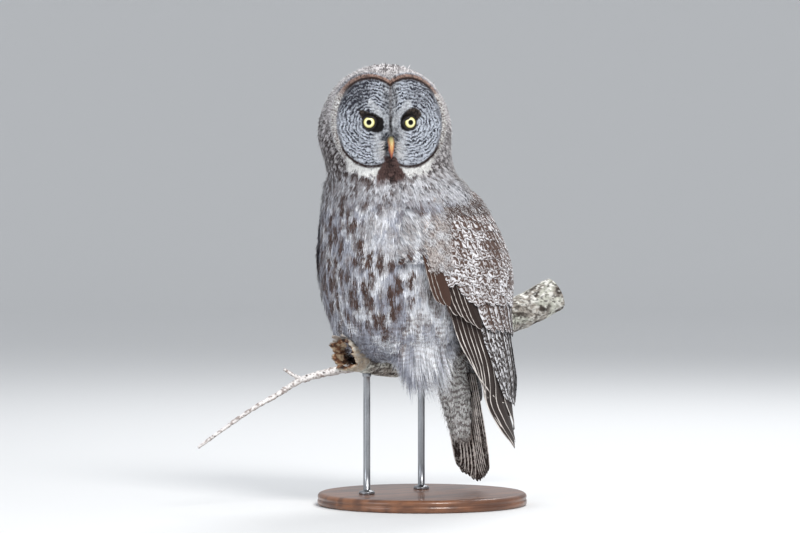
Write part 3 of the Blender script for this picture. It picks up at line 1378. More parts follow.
def make_wing(name, side):
    """A folded wing: an inner body that carries the rows of feathers."""
    guide = Guide(*wing_grid(side, lift=-0.0030))
    core_points, core_triangles = wing_core(side)
    core = add_mesh(f"{name}_core", core_points, core_triangles)
    put_look(core, mottled_look(BACK_LIGHT, BACK_DARK, 0.7, 0.2, 0.006)(bare_place(core_points)))
    dress(core, plumage, "wing_feathers", name)
    wing_vanes(f"{name}_primaries", side, PRIMARIES, flight_look(FLIGHT_BROWN, 0.13, 0.04))
    wing_vanes(f"{name}_secondaries", side, SECONDARIES, mottled_look(COVERT_WHITE, FLIGHT_BROWN, 1.00, 0.85, 0.0140, 0.75, 0.30))
    wing_vanes(f"{name}_primary_coverts", side, PRIMARY_COVERTS, flight_look(FLIGHT_BROWN, 0.10, 0.04))
    wing_vanes(f"{name}_greater_coverts", side, GREATER_COVERTS, mottled_look(COVERT_WHITE, BACK_DARK, 0.56, 0.75, 0.0095, 0.35, 0.70))
    wing_vanes(f"{name}_alula", side, ALULA, flight_look(ALULA_BROWN, 0.12, 0.0, 0.75))
    wing_rows(name, side)
    shoulder_down(name, side, guide)


CORE_LINE = (
    (0.225, -0.0075, 0.0020),
    (0.262, -0.0075, 0.0080),
    (0.300, -0.0070, 0.0130),
    (0.385, -0.0062, 0.0150),
    (0.420, -0.0050, 0.0150),
    (0.450, -0.0050, 0.0120),
)
CORE_PULL = 3.0


def wing_core(side, levels=40, turns=30):
    """A closed slab that follows the wing's inner side."""
    z = np.linspace(CORE_LINE[0][0], CORE_LINE[-1][0], levels)[:, None]
    lift, thick = read_table(CORE_LINE, z)
    first, last = leading_edge(z) + CORE_PULL, WING_TRAILING - CORE_PULL
    spread = np.linspace(0, 1, turns)[None, :]
    angles = first + (last - first) * spread
    outer = wing_point(side, angles, z, lift)
    inner = wing_point(side, angles[:, ::-1], z, lift - thick)
    points = np.concatenate([outer, inner], 1)
    triangles = grid_triangles(levels, 2 * turns, wrap=True)
    return points.reshape(-1, 3), triangles if side > 0 else triangles[:, ::-1]


def wing_turns(side, places):
    """The left wing's azimuths at places on either wing, in degrees."""
    turns = np.degrees(np.arctan2(side * places[:, 0], TORSO_Y - places[:, 1]))
    if side < 0:
        z = places[:, 2]
        own_first, own_last = read_table(RIGHT_LEADING, z)[0], read_table(RIGHT_TRAILING, z)[0]
        first = leading_edge(z)
        turns = first + (turns - own_first) / (own_last - own_first) * (WING_TRAILING - first)
    return turns


def shoulder_down(name, side, guide):
    """Small soft feathers at the shoulder's edge, that hide where the wing leaves the body."""

    def keep(places):
        turns, z = wing_turns(side, places), places[:, 2]
        front = (turns < leading_edge(z) + 15) & (z > (0.352 if side > 0 else 0.290))
        return (front | (z > 0.428)) & (turns < 172) & (z < 0.4485)

    def lie(places):
        turns = np.radians(wing_turns(side, places))
        back = np.stack([side * np.cos(turns), np.sin(turns), 0 * turns], -1)
        return unit(-UP + 0.35 * back)

    form = DOWNY._replace(length=0.019, width=0.0052, strands=8, sink=0.002, lift=0.0048, fray=0.14)
    spots = guide.scatter(0.0038, keep)
    piece, roots, wide, along, per = tufts(f"{name}_shoulder", guide, spots, lie(spots), form, covert_look(side))
    put_bake_map(piece, wing_turns(side, roots), roots[:, 2], wide, along, per)
    dress(piece, plumage, "wing_feathers")


# Tail
TAIL_FEATHERS = 12
TAIL_FEATHER_HALF_WIDTH = 0.0082
TAIL_ROOT_NARROW = 0.85
TAIL_TIP_NARROW = 0.10
TAIL_OUTER_SHORT = 0.095
TAIL_STRAY = 0.022
TAIL_STACK = 0.0075
TAIL_STATIONS = 28
Row = namedtuple("Row", "count root tip row_half_width half_width lifts")
TAIL_COVERTS = (
    Row(5, 0.18, 0.46, 0.014, 0.0105, (-0.022, -0.0140)),
    Row(5, 0.28, 0.60, 0.014, 0.0105, (-0.018, -0.0115)),
    Row(7, 0.18, 0.42, 0.026, 0.0110, (0.009, 0.0085)),
    Row(6, 0.24, 0.50, 0.024, 0.0110, (0.008, 0.0075)),
)


def tail_lines(shares, across, lifts, stations):
    """Lines of places and outward directions; the arguments are roots and tips of each feather."""
    along = np.linspace(0, 1, stations)
    share = mix(shares[0][:, None], shares[1][:, None], along)
    side = mix(across[0][:, None], across[1][:, None], along)
    lift = mix(lifts[0][:, None], lifts[1][:, None], along)
    places = tail_place(share, side, lift)
    step = tail_place(np.minimum(1.0, share + 0.02), side, lift) - tail_place(share - 0.02, side, lift)
    return places, unit(np.cross(step, (-1.0, 0.0, 0.0)))


TAIL_DOWN_SPAN = (0.12, 0.66)
TAIL_DOWN_RADII = ((0.0, 0.029), (0.35, 0.027), (0.70, 0.021), (1.0, 0.010))
TAIL_DOWN_ACROSS = -0.010
TAIL_DOWN_OUT = -0.010
TAIL_DOWN_FLAT = 0.45


def tail_look(place):
    """Dark brown, broken up by pale mottling, with white edges on both sides."""
    wander = 0.8 * np.abs(place.across) + 0.8 * noise(place.points, 110.0, 63.0)
    phase = place.along * place.length / 0.016 + wander + 3 * place.chance
    edge = smoothstep(0.74, 0.88, np.abs(place.across)) * smoothstep(1.0, 0.93, place.along)
    look = plain_look(FLIGHT_PALE, FLIGHT_BROWN, 1.04, 0.45, phase)
    return look._replace(share=look.share + 0.22 * noise(place.points, 130.0, 64.0) - 1.3 * edge)


def tail_down_look(place):
    """White fluff with wavy grey-brown bars."""
    wander = noise(place.points * np.array([1.0, 1.0, 0.5]), 90.0, 61.0)
    phase = place.points[..., 2] / 0.0092 + 1.2 * wander + 0.15 * (place.chance - 0.5)
    look = plain_look(MOUSTACHE_WHITE, BREAST_DARK, 0.0, 1.60, phase)
    patch = 0.18 * noise(place.tips, 60.0, 62.0)
    return look._replace(share=-0.36 + patch + 0.10 * (place.chance - 0.5))


def make_tail_down():
    """Loose feathers under the tail, over the roots of the long ones."""
    span = np.linspace(0, 1, 30)[:, None]
    turns = np.linspace(0, 2 * np.pi, 30, endpoint=False)[None, :]
    radii = read_table(TAIL_DOWN_RADII, span)[0]
    grid = tail_place(
        mix(*TAIL_DOWN_SPAN, span) + 0 * turns,
        TAIL_DOWN_ACROSS + radii * np.cos(turns),
        TAIL_DOWN_OUT + TAIL_DOWN_FLAT * radii * np.sin(turns),
    )
    guide = Guide(*capped(grid))
    spots = guide.scatter(0.0042)
    _, facing = guide.nearest(spots)
    spots = spots[facing[:, 1] < 0.35]
    down = unit(np.subtract(TAIL_LINE[-1], TAIL_LINE[0]))
    form = DOWNY._replace(length=0.027, width=0.0062, strands=10, sink=0.003, lift=0.0020, loft=0.0022, fray=0.22, hang=0.3)
    lies = unit(down + draw.normal(0, 0.10, spots.shape))
    piece, roots, wide, along, per = tufts("tail_down", guide, spots, lies, form, tail_down_look)
    put_bake_map(piece, np.arctan2(roots[:, 0] - 0.01, 0.09 - roots[:, 1]), roots[:, 2], wide, along, per)
    dress(piece, plumage, "tail_feathers")


def make_tail():
    """The closed fan: middle feathers on top, outer ones below and shorter, with rows of coverts."""
    spots = np.linspace(-1, 1, TAIL_FEATHERS)
    reach = TAIL_HALF_WIDTH - TAIL_FEATHER_HALF_WIDTH
    across = (spots * reach * TAIL_ROOT_NARROW, spots * reach * (1 - TAIL_TIP_NARROW * np.abs(spots)))
    ends = 1.0 - TAIL_OUTER_SHORT * spots**2 - draw.uniform(0.0, TAIL_STRAY, TAIL_FEATHERS)
    lift = TAIL_STACK * (0.45 - np.abs(spots)) + 0.0005 * spots
    places, outs = tail_lines((0.30 + 0 * spots, ends), across, (0.5 * lift, lift), TAIL_STATIONS)
    tilt = -VANE_TILT * np.sign(spots)
    half_widths = np.full(TAIL_FEATHERS, TAIL_FEATHER_HALF_WIDTH)
    fan = vanes("tail_fan", places, outs, 1, half_widths, LONG_OUTLINE, tail_look, tilt=tilt)
    dress(fan, plumage, "tail_feathers", "tail")
    for number, row in enumerate(TAIL_COVERTS):
        spots = np.linspace(-1, 1, row.count)
        flat = 1 - 0.35 * np.abs(spots)
        ends = row.tip - 0.05 * spots**2 + draw.uniform(-0.012, 0.012, row.count)
        lifts = (row.lifts[0] * flat, row.lifts[1] * flat + 0.0003 * np.arange(row.count))
        middle = TAIL_DOWN_ACROSS * (row.lifts[0] < 0)
        across = (middle + spots * row.row_half_width, middle + spots * row.row_half_width * 0.9)
        places, outs = tail_lines((row.root + 0 * spots, ends), across, lifts, 14)
        face = 1 if row.lifts[0] > 0 else -1
        half_widths = np.full(row.count, row.half_width)
        look = mottled_look(COVERT_WHITE, BACK_DARK, 0.22, 0.55, 0.0058)
        made = vanes(
            f"tail_coverts_{number + 1}", places, outs * face, face, half_widths, SHORT_OUTLINE, look, tilt=0.0,
        )
        dress(made, plumage, "tail_feathers")


# Hard parts and the stand
def tone_material(name, roughness, grain, contrast, bump, **settings):
    """A surface whose own colours are broken up by two sizes of grain, which also roughen it."""
    made, nodes, links = new_material(name)
    shader = nodes["Principled BSDF"]
    shader.inputs["Roughness"].default_value = roughness
    for key, value in settings.items():
        shader.inputs[key.replace("_", " ")].default_value = value
    tone = node(nodes, "ShaderNodeAttribute", attribute_name="tone")
    spot = node(nodes, "ShaderNodeTexCoord").outputs["Object"]
    fine = node(nodes, "ShaderNodeTexNoise", Scale=grain, Detail=5.0, Roughness=0.65)
    coarse = node(nodes, "ShaderNodeTexNoise", Scale=grain * 0.22, Detail=3.0)
    total = node(nodes, "ShaderNodeMath", operation="ADD")
    links.new(fine.outputs["Fac"], total.inputs[0])
    links.new(coarse.outputs["Fac"], total.inputs[1])
    level = node(nodes, "ShaderNodeMapRange")
    level.inputs["From Min"].default_value = 0.7
    level.inputs["From Max"].default_value = 1.3
    level.inputs["To Min"].default_value = 1 - contrast
    level.inputs["To Max"].default_value = 1 + contrast
    links.new(total.outputs[0], level.inputs["Value"])
    scaled = node(nodes, "ShaderNodeVectorMath", operation="SCALE")
    links.new(tone.outputs["Color"], scaled.inputs[0])
    links.new(level.outputs[0], scaled.inputs["Scale"])
    links.new(scaled.outputs[0], shader.inputs["Base Color"])
    raised = node(nodes, "ShaderNodeBump", Strength=0.6, Distance=bump)
    links.new(fine.outputs["Fac"], raised.inputs["Height"])
    links.new(raised.outputs[0], shader.inputs["Normal"])
    for texture in (fine, coarse):
        links.new(spot, texture.inputs["Vector"])
    return made


def path_frames(places):
    """For each place of a line, its direction and two directions across it that turn smoothly."""
    steps = unit(np.gradient(places, axis=0))
    side = unit(np.cross(steps[0], (0.31, 0.17, 0.94)))
    sides = []
    for step in steps:
        side = unit(side - step * np.dot(side, step))
        sides.append(side)
    sides = np.array(sides)
    return steps, sides, np.cross(steps, sides)


def sweep(places, radii, sides, flatten=1.0):
    """Rings of points about a line."""
    _, first, second = path_frames(places)
    turns = np.linspace(0, 2 * np.pi, sides, endpoint=False)
    radii = np.broadcast_to(np.asarray(radii), len(places))[:, None, None]
    ring = np.cos(turns)[:, None] * first[:, None] + flatten * np.sin(turns)[:, None] * second[:, None]
    return places[:, None] + radii * ring


def capped(grid):
    """Points and triangles of rings closed at both ends, facing out."""
    rows, columns = grid.shape[:2]
    points = np.concatenate([grid.reshape(-1, 3), [grid[0].mean(0), grid[-1].mean(0)]])
    ring, last = np.arange(columns), (rows - 1) * columns
    after = np.roll(ring, -1)
    low = np.stack([np.full(columns, rows * columns), after, ring], 1)
    high = np.stack([np.full(columns, rows * columns + 1), last + ring, last + after], 1)
    triangles = np.concatenate([grid_triangles(rows, columns, wrap=True), low, high])
    a, b, c = np.moveaxis(points[triangles], 1, 0)
    if np.sum(a * np.cross(b, c)) < 0:
        triangles = triangles[:, ::-1]
    return points, triangles


def toned(name, points, triangles, tones, material, slot, *replaced):
    """A piece with a colour at each of its points."""
    piece = add_mesh(name, points, triangles)
    put_colour(piece, "tone", np.broadcast_to(tones, (len(piece.data.vertices), 3)))
    return dress(piece, material, slot, *replaced)


def with_ends(values):
    """A grid's values followed by those of its two end points."""
    return np.concatenate([values.reshape(-1, 3), [values[0].mean(0), values[-1].mean(0)]])


# Eyes
LID_OPENING = 0.0088
# How far the upper lid comes down over each eye, and the turn from the bill where it is lowest
LID_CUTS = {1: (0.0036, 58.0), -1: (0.0026, 82.0)}
LID_PROFILE = (
    (0.0000, -0.0004),
    (0.0001, 0.0006),
    (0.0006, 0.0013),
    (0.0015, 0.0014),
    (0.0027, 0.0006),
    (0.0040, -0.0014),
)


def eye_axes(side):
    centre = head_place(side * EYE_ACROSS, EYE_DEPTH, EYE_Z)
    gaze = math.cos(EYE_SPLAY) * HEAD_FORWARD + side * math.sin(EYE_SPLAY) * HEAD_LEFT
    inner = unit(np.cross(UP, gaze)) * -side
    return centre, gaze, inner, np.cross(gaze, np.cross(UP, gaze))


def eye_material():
    """A pale yellow iris with fine fibres between a black pupil and a dark edge, under a wet coat."""
    made, nodes, links = new_material("eye")
    shader = nodes["Principled BSDF"]
    shader.inputs["Roughness"].default_value = 0.06
    shader.inputs["Specular IOR Level"].default_value = 0.20
    shader.inputs["Coat Weight"].default_value = 0.12
    shader.inputs["Coat Roughness"].default_value = 0.02
    away = node(nodes, "ShaderNodeAttribute", attribute_name="away")
    turn = node(nodes, "ShaderNodeAttribute", attribute_name="ray")
    fibres = node(nodes, "ShaderNodeTexNoise", Scale=9.0, Detail=4.0, Roughness=0.7)
    links.new(turn.outputs["Vector"], fibres.inputs["Vector"])
    jitter = node(nodes, "ShaderNodeMath", operation="MULTIPLY_ADD")
    jitter.inputs[1].default_value = 0.05
    links.new(fibres.outputs["Fac"], jitter.inputs[0])
    links.new(away.outputs["Fac"], jitter.inputs[2])
    ramp = node(nodes, "ShaderNodeValToRGB")
    stops = ramp.color_ramp.elements
    rows = (
        (0.000, (2, 2, 2)),
        (0.415, (3, 3, 3)),
        (0.445, (110, 104, 66)),
        (0.53, (240, 237, 190)),
        (0.80, (228, 223, 158)),
        (0.93, (150, 140, 78)),
        (0.995, (16, 12, 8)),
    )
    for index, (place, colour) in enumerate(rows):
        stop = stops[index] if index < 2 else stops.new(place)
        stop.position = place
        stop.color = (*tint(*colour), 1.0)
    links.new(jitter.outputs[0], ramp.inputs["Fac"])
    links.new(ramp.outputs["Color"], shader.inputs["Base Color"])
    return made


def make_eyes():
    glass, lid_skin = eye_material(), tone_material("lid", 0.45, 900.0, 0.3, 0.0002)
    for name, side in (("left", 1), ("right", -1)):
        centre, gaze, inner, up = eye_axes(side)
        tilts = np.linspace(0, np.pi, 66)[1:-1, None]
        turns = np.linspace(0, 2 * np.pi, 72, endpoint=False)[None, :]
        ring = np.cos(turns)[..., None] * inner + np.sin(turns)[..., None] * up
        ball = centre + EYE_RADIUS * (np.sin(tilts)[..., None] * ring + np.cos(tilts)[..., None] * gaze)
        points, triangles = capped(ball)
        eye = add_mesh(f"eye_{name}_ball", points, triangles)
        out = points - centre
        off = np.linalg.norm(out - (out @ gaze)[:, None] * gaze, axis=1)
        behind = out @ gaze < 0
        put_number(eye, "away", np.where(behind, 1.0, off / IRIS_RADIUS))
        rays = unit(out - (out @ gaze)[:, None] * gaze)
        data = eye.data.attributes.new("ray", "FLOAT_VECTOR", "POINT").data
        data.foreach_set("vector", rays.astype(np.float32).ravel())
        dress(eye, glass, "eye", f"eye_{name}")
        # the lids' opening is cut a little over the top, towards the bill
        angle = np.linspace(0, 2 * np.pi, 90, endpoint=False)
        cut, lowest = LID_CUTS[side]
        opening = LID_OPENING - cut * np.exp(-((angle - math.radians(lowest)) / 0.70) ** 2)
        rows = []
        for outward, rise in LID_PROFILE:
            reach = opening + outward
            depth = np.sqrt(EYE_RADIUS**2 - np.minimum(reach, 0.0125) ** 2) + rise
            spoke = np.cos(angle)[:, None] * inner + np.sin(angle)[:, None] * up
            rows.append(centre + reach[:, None] * spoke + depth[:, None] * gaze)
        grid = np.array(rows)
        triangles = grid_triangles(*grid.shape[:2], wrap=True)
        if side < 0:
            triangles = triangles[:, ::-1]
        toned(f"eye_{name}_lids", grid, triangles, tint(22, 18, 18), lid_skin, "eye")


# Bill
def make_bill():
    horn = tone_material("bill", 0.38, 420.0, 0.16, 0.00025, Coat_Weight=0.25)
    keys = (0.0, 0.24, 0.42, 0.62, 0.84, 1.0)
    middle = (
        tint(40, 38, 36), tint(70, 68, 54), tint(166, 158, 104), tint(196, 148, 88), tint(160, 84, 60), tint(84, 36, 32),
    )
    flank = (
        tint(36, 34, 34), tint(56, 50, 44), tint(150, 108, 68), tint(156, 80, 56), tint(118, 50, 42), tint(66, 26, 26),
    )
    for name, line, girth, deep in (
        ("bill_upper", UPPER_BILL_LINE, 1.0, 1.15),
        ("bill_lower", LOWER_BILL_LINE, 0.72, 0.6),
    ):
        shares = np.linspace(0, 0.995, 40)
        across_forward = curve_through(line, shares)
        places = head_place(0.0, across_forward[:, 0], across_forward[:, 1])
        radii = BILL_HALF_WIDTH * girth * (1 - shares**2.2) ** 0.8 + 0.0001
        grid = sweep(places, radii, 40, flatten=deep)
        beside = np.abs((grid - places[:, None]) @ HEAD_LEFT) / radii[:, None]
        colours = []
        for table in (middle, flank):
            table = np.array(table)
            colours.append(np.stack([np.interp(shares, keys, table[:, k]) for k in range(3)], -1))
        tones = mix_rows(colours[0][:, None], colours[1][:, None], smoothstep(0.25, 0.95, beside))
        points, triangles = capped(grid)
        toned(name + "_horn", points, triangles, with_ends(tones), horn, "bill", name)


BRISTLE_COUNT = 120


def make_bristles():
    """Fine curved bristles that spread from the sides of the bill over the lower face."""
    lengths = draw.uniform(0.009, 0.018, BRISTLE_COUNT)
    sides = np.where(np.arange(BRISTLE_COUNT) % 2 == 0, 1, -1)
    z = draw.uniform(0.500, 0.5215, BRISTLE_COUNT)
    across = sides * draw.uniform(0.0035, 0.0080, BRISTLE_COUNT)
    forward = 0.0685 + 0.25 * (0.008 - np.abs(across)) + draw.uniform(-0.001, 0.001, BRISTLE_COUNT)
    roots = head_place(across, forward, z)
    fall = draw.uniform(0.25, 1.1, BRISTLE_COUNT)[:, None]
    start = unit(HEAD_LEFT * sides[:, None] * 0.8 + HEAD_FORWARD * 0.75 - UP * 0.35 * fall)
    bend = unit(HEAD_LEFT * sides[:, None] * 1.1 - HEAD_FORWARD * 0.55 - UP * fall * 1.2)
    along = np.linspace(0, 1, 8)[:, None]
    run = along * (1 - 0.5 * along)
    lines = roots[:, None] + lengths[:, None, None] * (start[:, None] * run + bend[:, None] * 0.55 * along**2)
    tones = mix_rows(tint(70, 66, 68), tint(228, 227, 228), smoothstep(0.05, 0.45, along[:, 0]))
    points, triangles, colours, count = [], [], [], 0
    for line in lines:
        radii = 0.00026 * (1 - 0.80 * along[:, 0])
        spots, faces = capped(sweep(line, radii, 4))
        points.append(spots)
        triangles.append(faces + count)
        colours.append(np.concatenate([np.repeat(tones, 4, 0), tones[:1], tones[-1:]]))
        count += len(spots)
    hair = tone_material("bristle", 0.6, 600.0, 0.1, 0.0001)
    tones = np.concatenate(colours)
    toned("bristles", np.concatenate(points), np.concatenate(triangles), tones, hair, "face_feathers")


# Legs, feet and the feathers that hang over the branch
LEG_RADIUS = 0.026
LEG_SHARES = (0.95, 1.0, 0.98, 0.90, 0.76, 0.56, 0.30)
VENT_ALONG = 0.058


def leg_grid(along, side, lean):
    top = round_perch(along, 0.0, 0.060) + np.array([side * 0.016, 0.0, 0.0])
    drape = round_perch(along - 0.004, side * math.radians(100), PERCH_RADIUS + 0.009)
    middle = 0.5 * (top + drape) + np.array([side * lean, 0.0, 0.008])
    shares = np.linspace(0, 1, 24)
    radii = LEG_RADIUS * np.interp(shares, np.linspace(0, 1, 7), LEG_SHARES)
    return sweep(curve_through([top, middle, drape], shares), radii, 28)


def toe_lines(along):
    """The middle lines of a foot's four toes, and of their claws."""
    reach = PERCH_RADIUS * 1.09 + TOE_RADIUS
    toes, claws = [], []
    for side, lane in itertools.product((1, -1), (-TOE_SPREAD, TOE_SPREAD)):
        for lines, first, last in ((toes, TOE_FROM, TOE_TO), (claws, TOE_TO - CLAW_SINK, CLAW_TO)):
            turns = np.linspace(first, last, 24)
            drifts = lane * (0.45 + 0.55 * np.minimum(1.0, turns / TOE_TO))
            places = [round_perch(along + drift, side * turn, reach) for drift, turn in zip(drifts, turns)]
            lines.append(np.array(places))
    return toes, claws


def joined(grids):
    """One set of points and triangles from several closed grids."""
    points, triangles, count = [], [], 0
    for grid in grids:
        spots, faces = capped(grid)
        points.append(spots)
        triangles.append(faces + count)
        count += len(spots)
    return np.concatenate(points), np.concatenate(triangles)


def soft_look(place):
    """Pale loose down of the legs and vent, faintly barred."""
    phase = place.along * place.length / 0.0065 + 2 * place.chance
    look = plain_look(BREAST_WHITE, BREAST_DARK, 0.0, 0.40, phase)
    light = mix_rows(BREAST_GREY, BREAST_WHITE, smoothstep(0.25, 0.75, place.chance))
    patch = smoothstep(0.05, 0.45, noise(place.tips, 75.0, 72.0))
    share = 0.12 + 0.35 * (place.chance - 0.5) + 0.15 * noise(place.points, 150.0, 71.0) + 0.45 * patch
    return look._replace(light=light, share=share)


def make_legs():
    """The feathered legs, and the loose feathers that hang from the belly over the branch."""
    horn = tone_material("claw", 0.32, 500.0, 0.25, 0.0002, Coat_Weight=0.3)
    grids = []
    for name, side, lean in (("left", 1, 0.010), ("right", -1, -0.004)):
        along = FOOT_ALONG[name]
        legs = [leg_grid(along, side, lean)]
        if side > 0:
            legs.append(leg_grid(VENT_ALONG, side, lean))
        toes, claws = toe_lines(along)
        toe_radii = TOE_RADIUS * np.interp(np.linspace(0, 1, 24), np.linspace(0, 1, 5), (0.9, 1.0, 1.0, 0.95, 0.84))
        pads = [sweep(line, toe_radii, 16) for line in toes]
        grids += legs + pads
        for number, line in enumerate(claws):
            shares = np.linspace(0, 1, 24)
            radii = CLAW_RADIUS * np.interp(shares, np.linspace(0, 1, 5), (1.0, 0.9, 0.7, 0.42, 0.08))
            points, triangles = capped(sweep(line, radii, 18))
            tones = mix_rows(tint(70, 62, 58), tint(22, 20, 20), np.repeat(shares, 18))
            tones = np.concatenate([tones, tones[:1], tones[-1:]])
            node_name = f"claw_{name}_{number + 1}"
            toned(node_name + "_horn", points, triangles, tones, horn, "claw", node_name)
        down = DOWNY._replace(length=0.012, width=0.0028, strands=6, sink=0.0015, lift=0.0012, loft=0.0010)
        guide = Guide(*joined(pads))
        spots = guide.scatter(0.0028)
        lies = unit(-UP + 0.4 * (spots - round_perch(along, 0.0, 0.0)) / 0.03)
        piece, roots, wide, share, per = tufts(f"toes_{name}", guide, spots, lies, down, soft_look)
        put_bake_map(piece, roots[:, 0] + 2 * roots[:, 1], roots[:, 2], wide, share, per)
        dress(piece, plumage, "leg_feathers")
        guide = Guide(*joined(legs))
        spots = guide.scatter(0.0040)
        long = DOWNY._replace(
            length=0.029 if side > 0 else 0.014, width=0.0050, sink=0.002, lift=0.0015, loft=0.0022,
            hang=0.9 if side > 0 else 0.0,
        )
        lies = np.broadcast_to(-UP, spots.shape)
        piece, roots, wide, share, per = tufts(f"leg_{name}_down", guide, spots, lies, long, soft_look)
        put_bake_map(piece, np.arctan2(*(roots[:, :2] - spots[:, :2].mean(0)).T), roots[:, 2], wide, share, per)
        dress(piece, plumage, "leg_feathers")
    return grids


def make_skin(limbs):
    """One skin for the head, neck, torso, legs and feet, a coat's depth inside the plumage."""
    points, triangles = joined([body_grid(coat_depth), *limbs])
    rough = add_mesh("rough_skin", points, triangles)
    fuse = rough.modifiers.new("fuse", "REMESH")
    fuse.mode = "VOXEL"
    fuse.voxel_size = 0.0032
    graph = bpy.context.evaluated_depsgraph_get()
    mesh = bpy.data.meshes.new_from_object(rough.evaluated_get(graph))
    bpy.data.objects.remove(rough, do_unlink=True)
    skin = bpy.data.objects.new("skin", mesh)
    bpy.context.scene.collection.objects.link(skin)
    mesh.shade_smooth()
    spots = np.empty(len(mesh.vertices) * 3, np.float32)
    mesh.vertices.foreach_get("co", spots)
    look = body_look(bare_place(spots.reshape(-1, 3).astype(float)))
    put_look(skin, look._replace(light=look.light * 0.6, dark=look.dark * 0.6))
    nodes = ("torso", "neck", "head", "leg_left", "leg_right", "foot_left", "foot_right")
    return dress(skin, plumage, "body_feathers", *nodes)


# Branch and twig
PERCH_ROWS = 320
PERCH_SIDES = 132
CRACKS = (0.088, 0.150, 0.205, 0.62, 0.80)
HOLLOW_DEPTH = 0.030
BARK_PALE = tint(228, 227, 222)
BARK_MID = tint(150, 144, 136)
BARK_DARK = tint(54, 46, 40)
LICHEN = tint(186, 187, 176)
WOOD_BROWN = tint(120, 78, 50)
WOOD_PALE = tint(206, 184, 156)
WOOD_DARK = tint(46, 30, 24)


def make_perch():
    """The branch: cracked bark, a ragged hollow end and a sawn end."""
    shares = np.linspace(0, 1, PERCH_ROWS)
    axis = perch_axis(shares)
    steps, first, second = path_frames(axis)
    turns = np.linspace(0, 2 * np.pi, PERCH_SIDES, endpoint=False)
    out = np.cos(turns)[:, None] * first[:, None] + np.sin(turns)[:, None] * second[:, None]
    girth = perch_girth(shares[:, None], turns[None, :])
    spots = axis[:, None] + girth[..., None] * out
    coarse, fine = noise(spots, 70.0, 81.0), noise(spots, 260.0, 82.0)
    plates = noise(spots * np.array([1.0, 0.45, 1.0]), 150.0, 83.0)
    wavy = 0.006 * noise(out * 2.3 + shares[:, None, None] * 3, 1.0, 84.0) + 0.003 * noise(out * 7.0, 1.0, 85.0)
    groove = np.zeros(spots.shape[:2])
    for place in CRACKS:
        groove = np.maximum(groove, np.exp(-(((shares[:, None] - place - wavy) / 0.0022) ** 2)))
    rise = 0.0006 * coarse + 0.0005 * fine + 0.0007 * smoothstep(0.0, 0.25, plates) - 0.0016 * groove - 0.0008
    ragged = 0.004 * np.sin(3 * turns + 0.6) + 0.003 * np.sin(7 * turns) - 0.004 * out[0][:, 2]
    chipped = 0.0035 * noise(out[0] * 9.0, 1.0, 86.0) + 0.002 * noise(out[0] * 23.0, 1.0, 87.0)
    shift = (ragged + chipped)[None, :] * smoothstep(0.03, 0.0, shares)[:, None]
    bark = spots + rise[..., None] * out + shift[..., None] * steps[:, None]
    # the hollow's wall, from the rim inwards
    depth = np.linspace(0, 1, 26)[:, None]
    wall = girth[0] * (0.86 - 0.42 * depth**0.7)
    inside = axis[0] + (HOLLOW_DEPTH * depth)[..., None] * steps[0] + wall[..., None] * out[0]
    inside = inside + (shift[0] * (1 - depth))[..., None] * steps[0]
    torn = noise(inside, 190.0, 88.0) + 0.6 * noise(inside, 520.0, 89.0)
    inside = inside + (0.0030 * torn * smoothstep(0.0, 0.15, depth))[..., None] * (out[0] + 0.8 * steps[0])
    grid = np.concatenate([inside[::-1], bark])
    top = smoothstep(0.1, 0.8, out[..., 2] + 0.35 * coarse)
    tones = mix_rows(BARK_MID, BARK_DARK, smoothstep(0.0, 0.6, -plates))
    tones = mix_rows(tones, LICHEN, smoothstep(-0.1, 0.45, coarse + 0.3 * fine))
    pale = smoothstep(0.0, 0.35, fine + 0.5 * plates) * (0.45 + 0.55 * top)
    tones = mix_rows(tones, BARK_PALE, np.clip(pale, 0, 1))
    pits = noise(spots * np.array([1.0, 0.6, 1.0]), 520.0, 80.0)
    tones = mix_rows(tones, BARK_DARK, 0.75 * smoothstep(0.10, 0.45, pits))
    tones = mix_rows(tones, BARK_DARK * 0.6, smoothstep(0.2, 0.8, groove))
    smooth_end = smoothstep(0.085, 0.078, shares[:, None] + wavy)
    tones = mix_rows(tones, mix_rows(WOOD_PALE, BARK_MID, 0.5 + 0.5 * fine), 0.6 * smooth_end)
    wood = mix_rows(WOOD_BROWN, WOOD_PALE, smoothstep(0.0, 0.5, torn))
    wood = mix_rows(wood, WOOD_DARK, np.clip(smoothstep(0.0, -0.6, torn) + smoothstep(0.3, 0.9, depth), 0, 1))
    points, triangles = capped(grid)
    tones = np.concatenate([np.concatenate([wood[::-1], tones]).reshape(-1, 3), [WOOD_DARK, WOOD_PALE]])
    bark_skin = tone_material("bark", 0.88, 700.0, 0.32, 0.0012)
    toned("perch_bark", points, triangles, tones, bark_skin, "bark", "perch")
    make_flakes(bark_skin, axis, steps, out, girth)


FLAKES = (
    (0.004, 70, 0.027, 0.0080, 0.10),
    (0.012, 96, 0.020, 0.0060, 0.22),
    (0.018, 40, 0.018, 0.0070, 0.10),
    (0.030, 60, 0.018, 0.0060, 0.12),
    (0.060, 70, 0.016, 0.0070, 0.18),
    (0.100, 52, 0.018, 0.0060, 0.16),
    (0.125, 74, 0.014, 0.0060, 0.22),
    (0.150, 40, 0.013, 0.0050, 0.12),
)


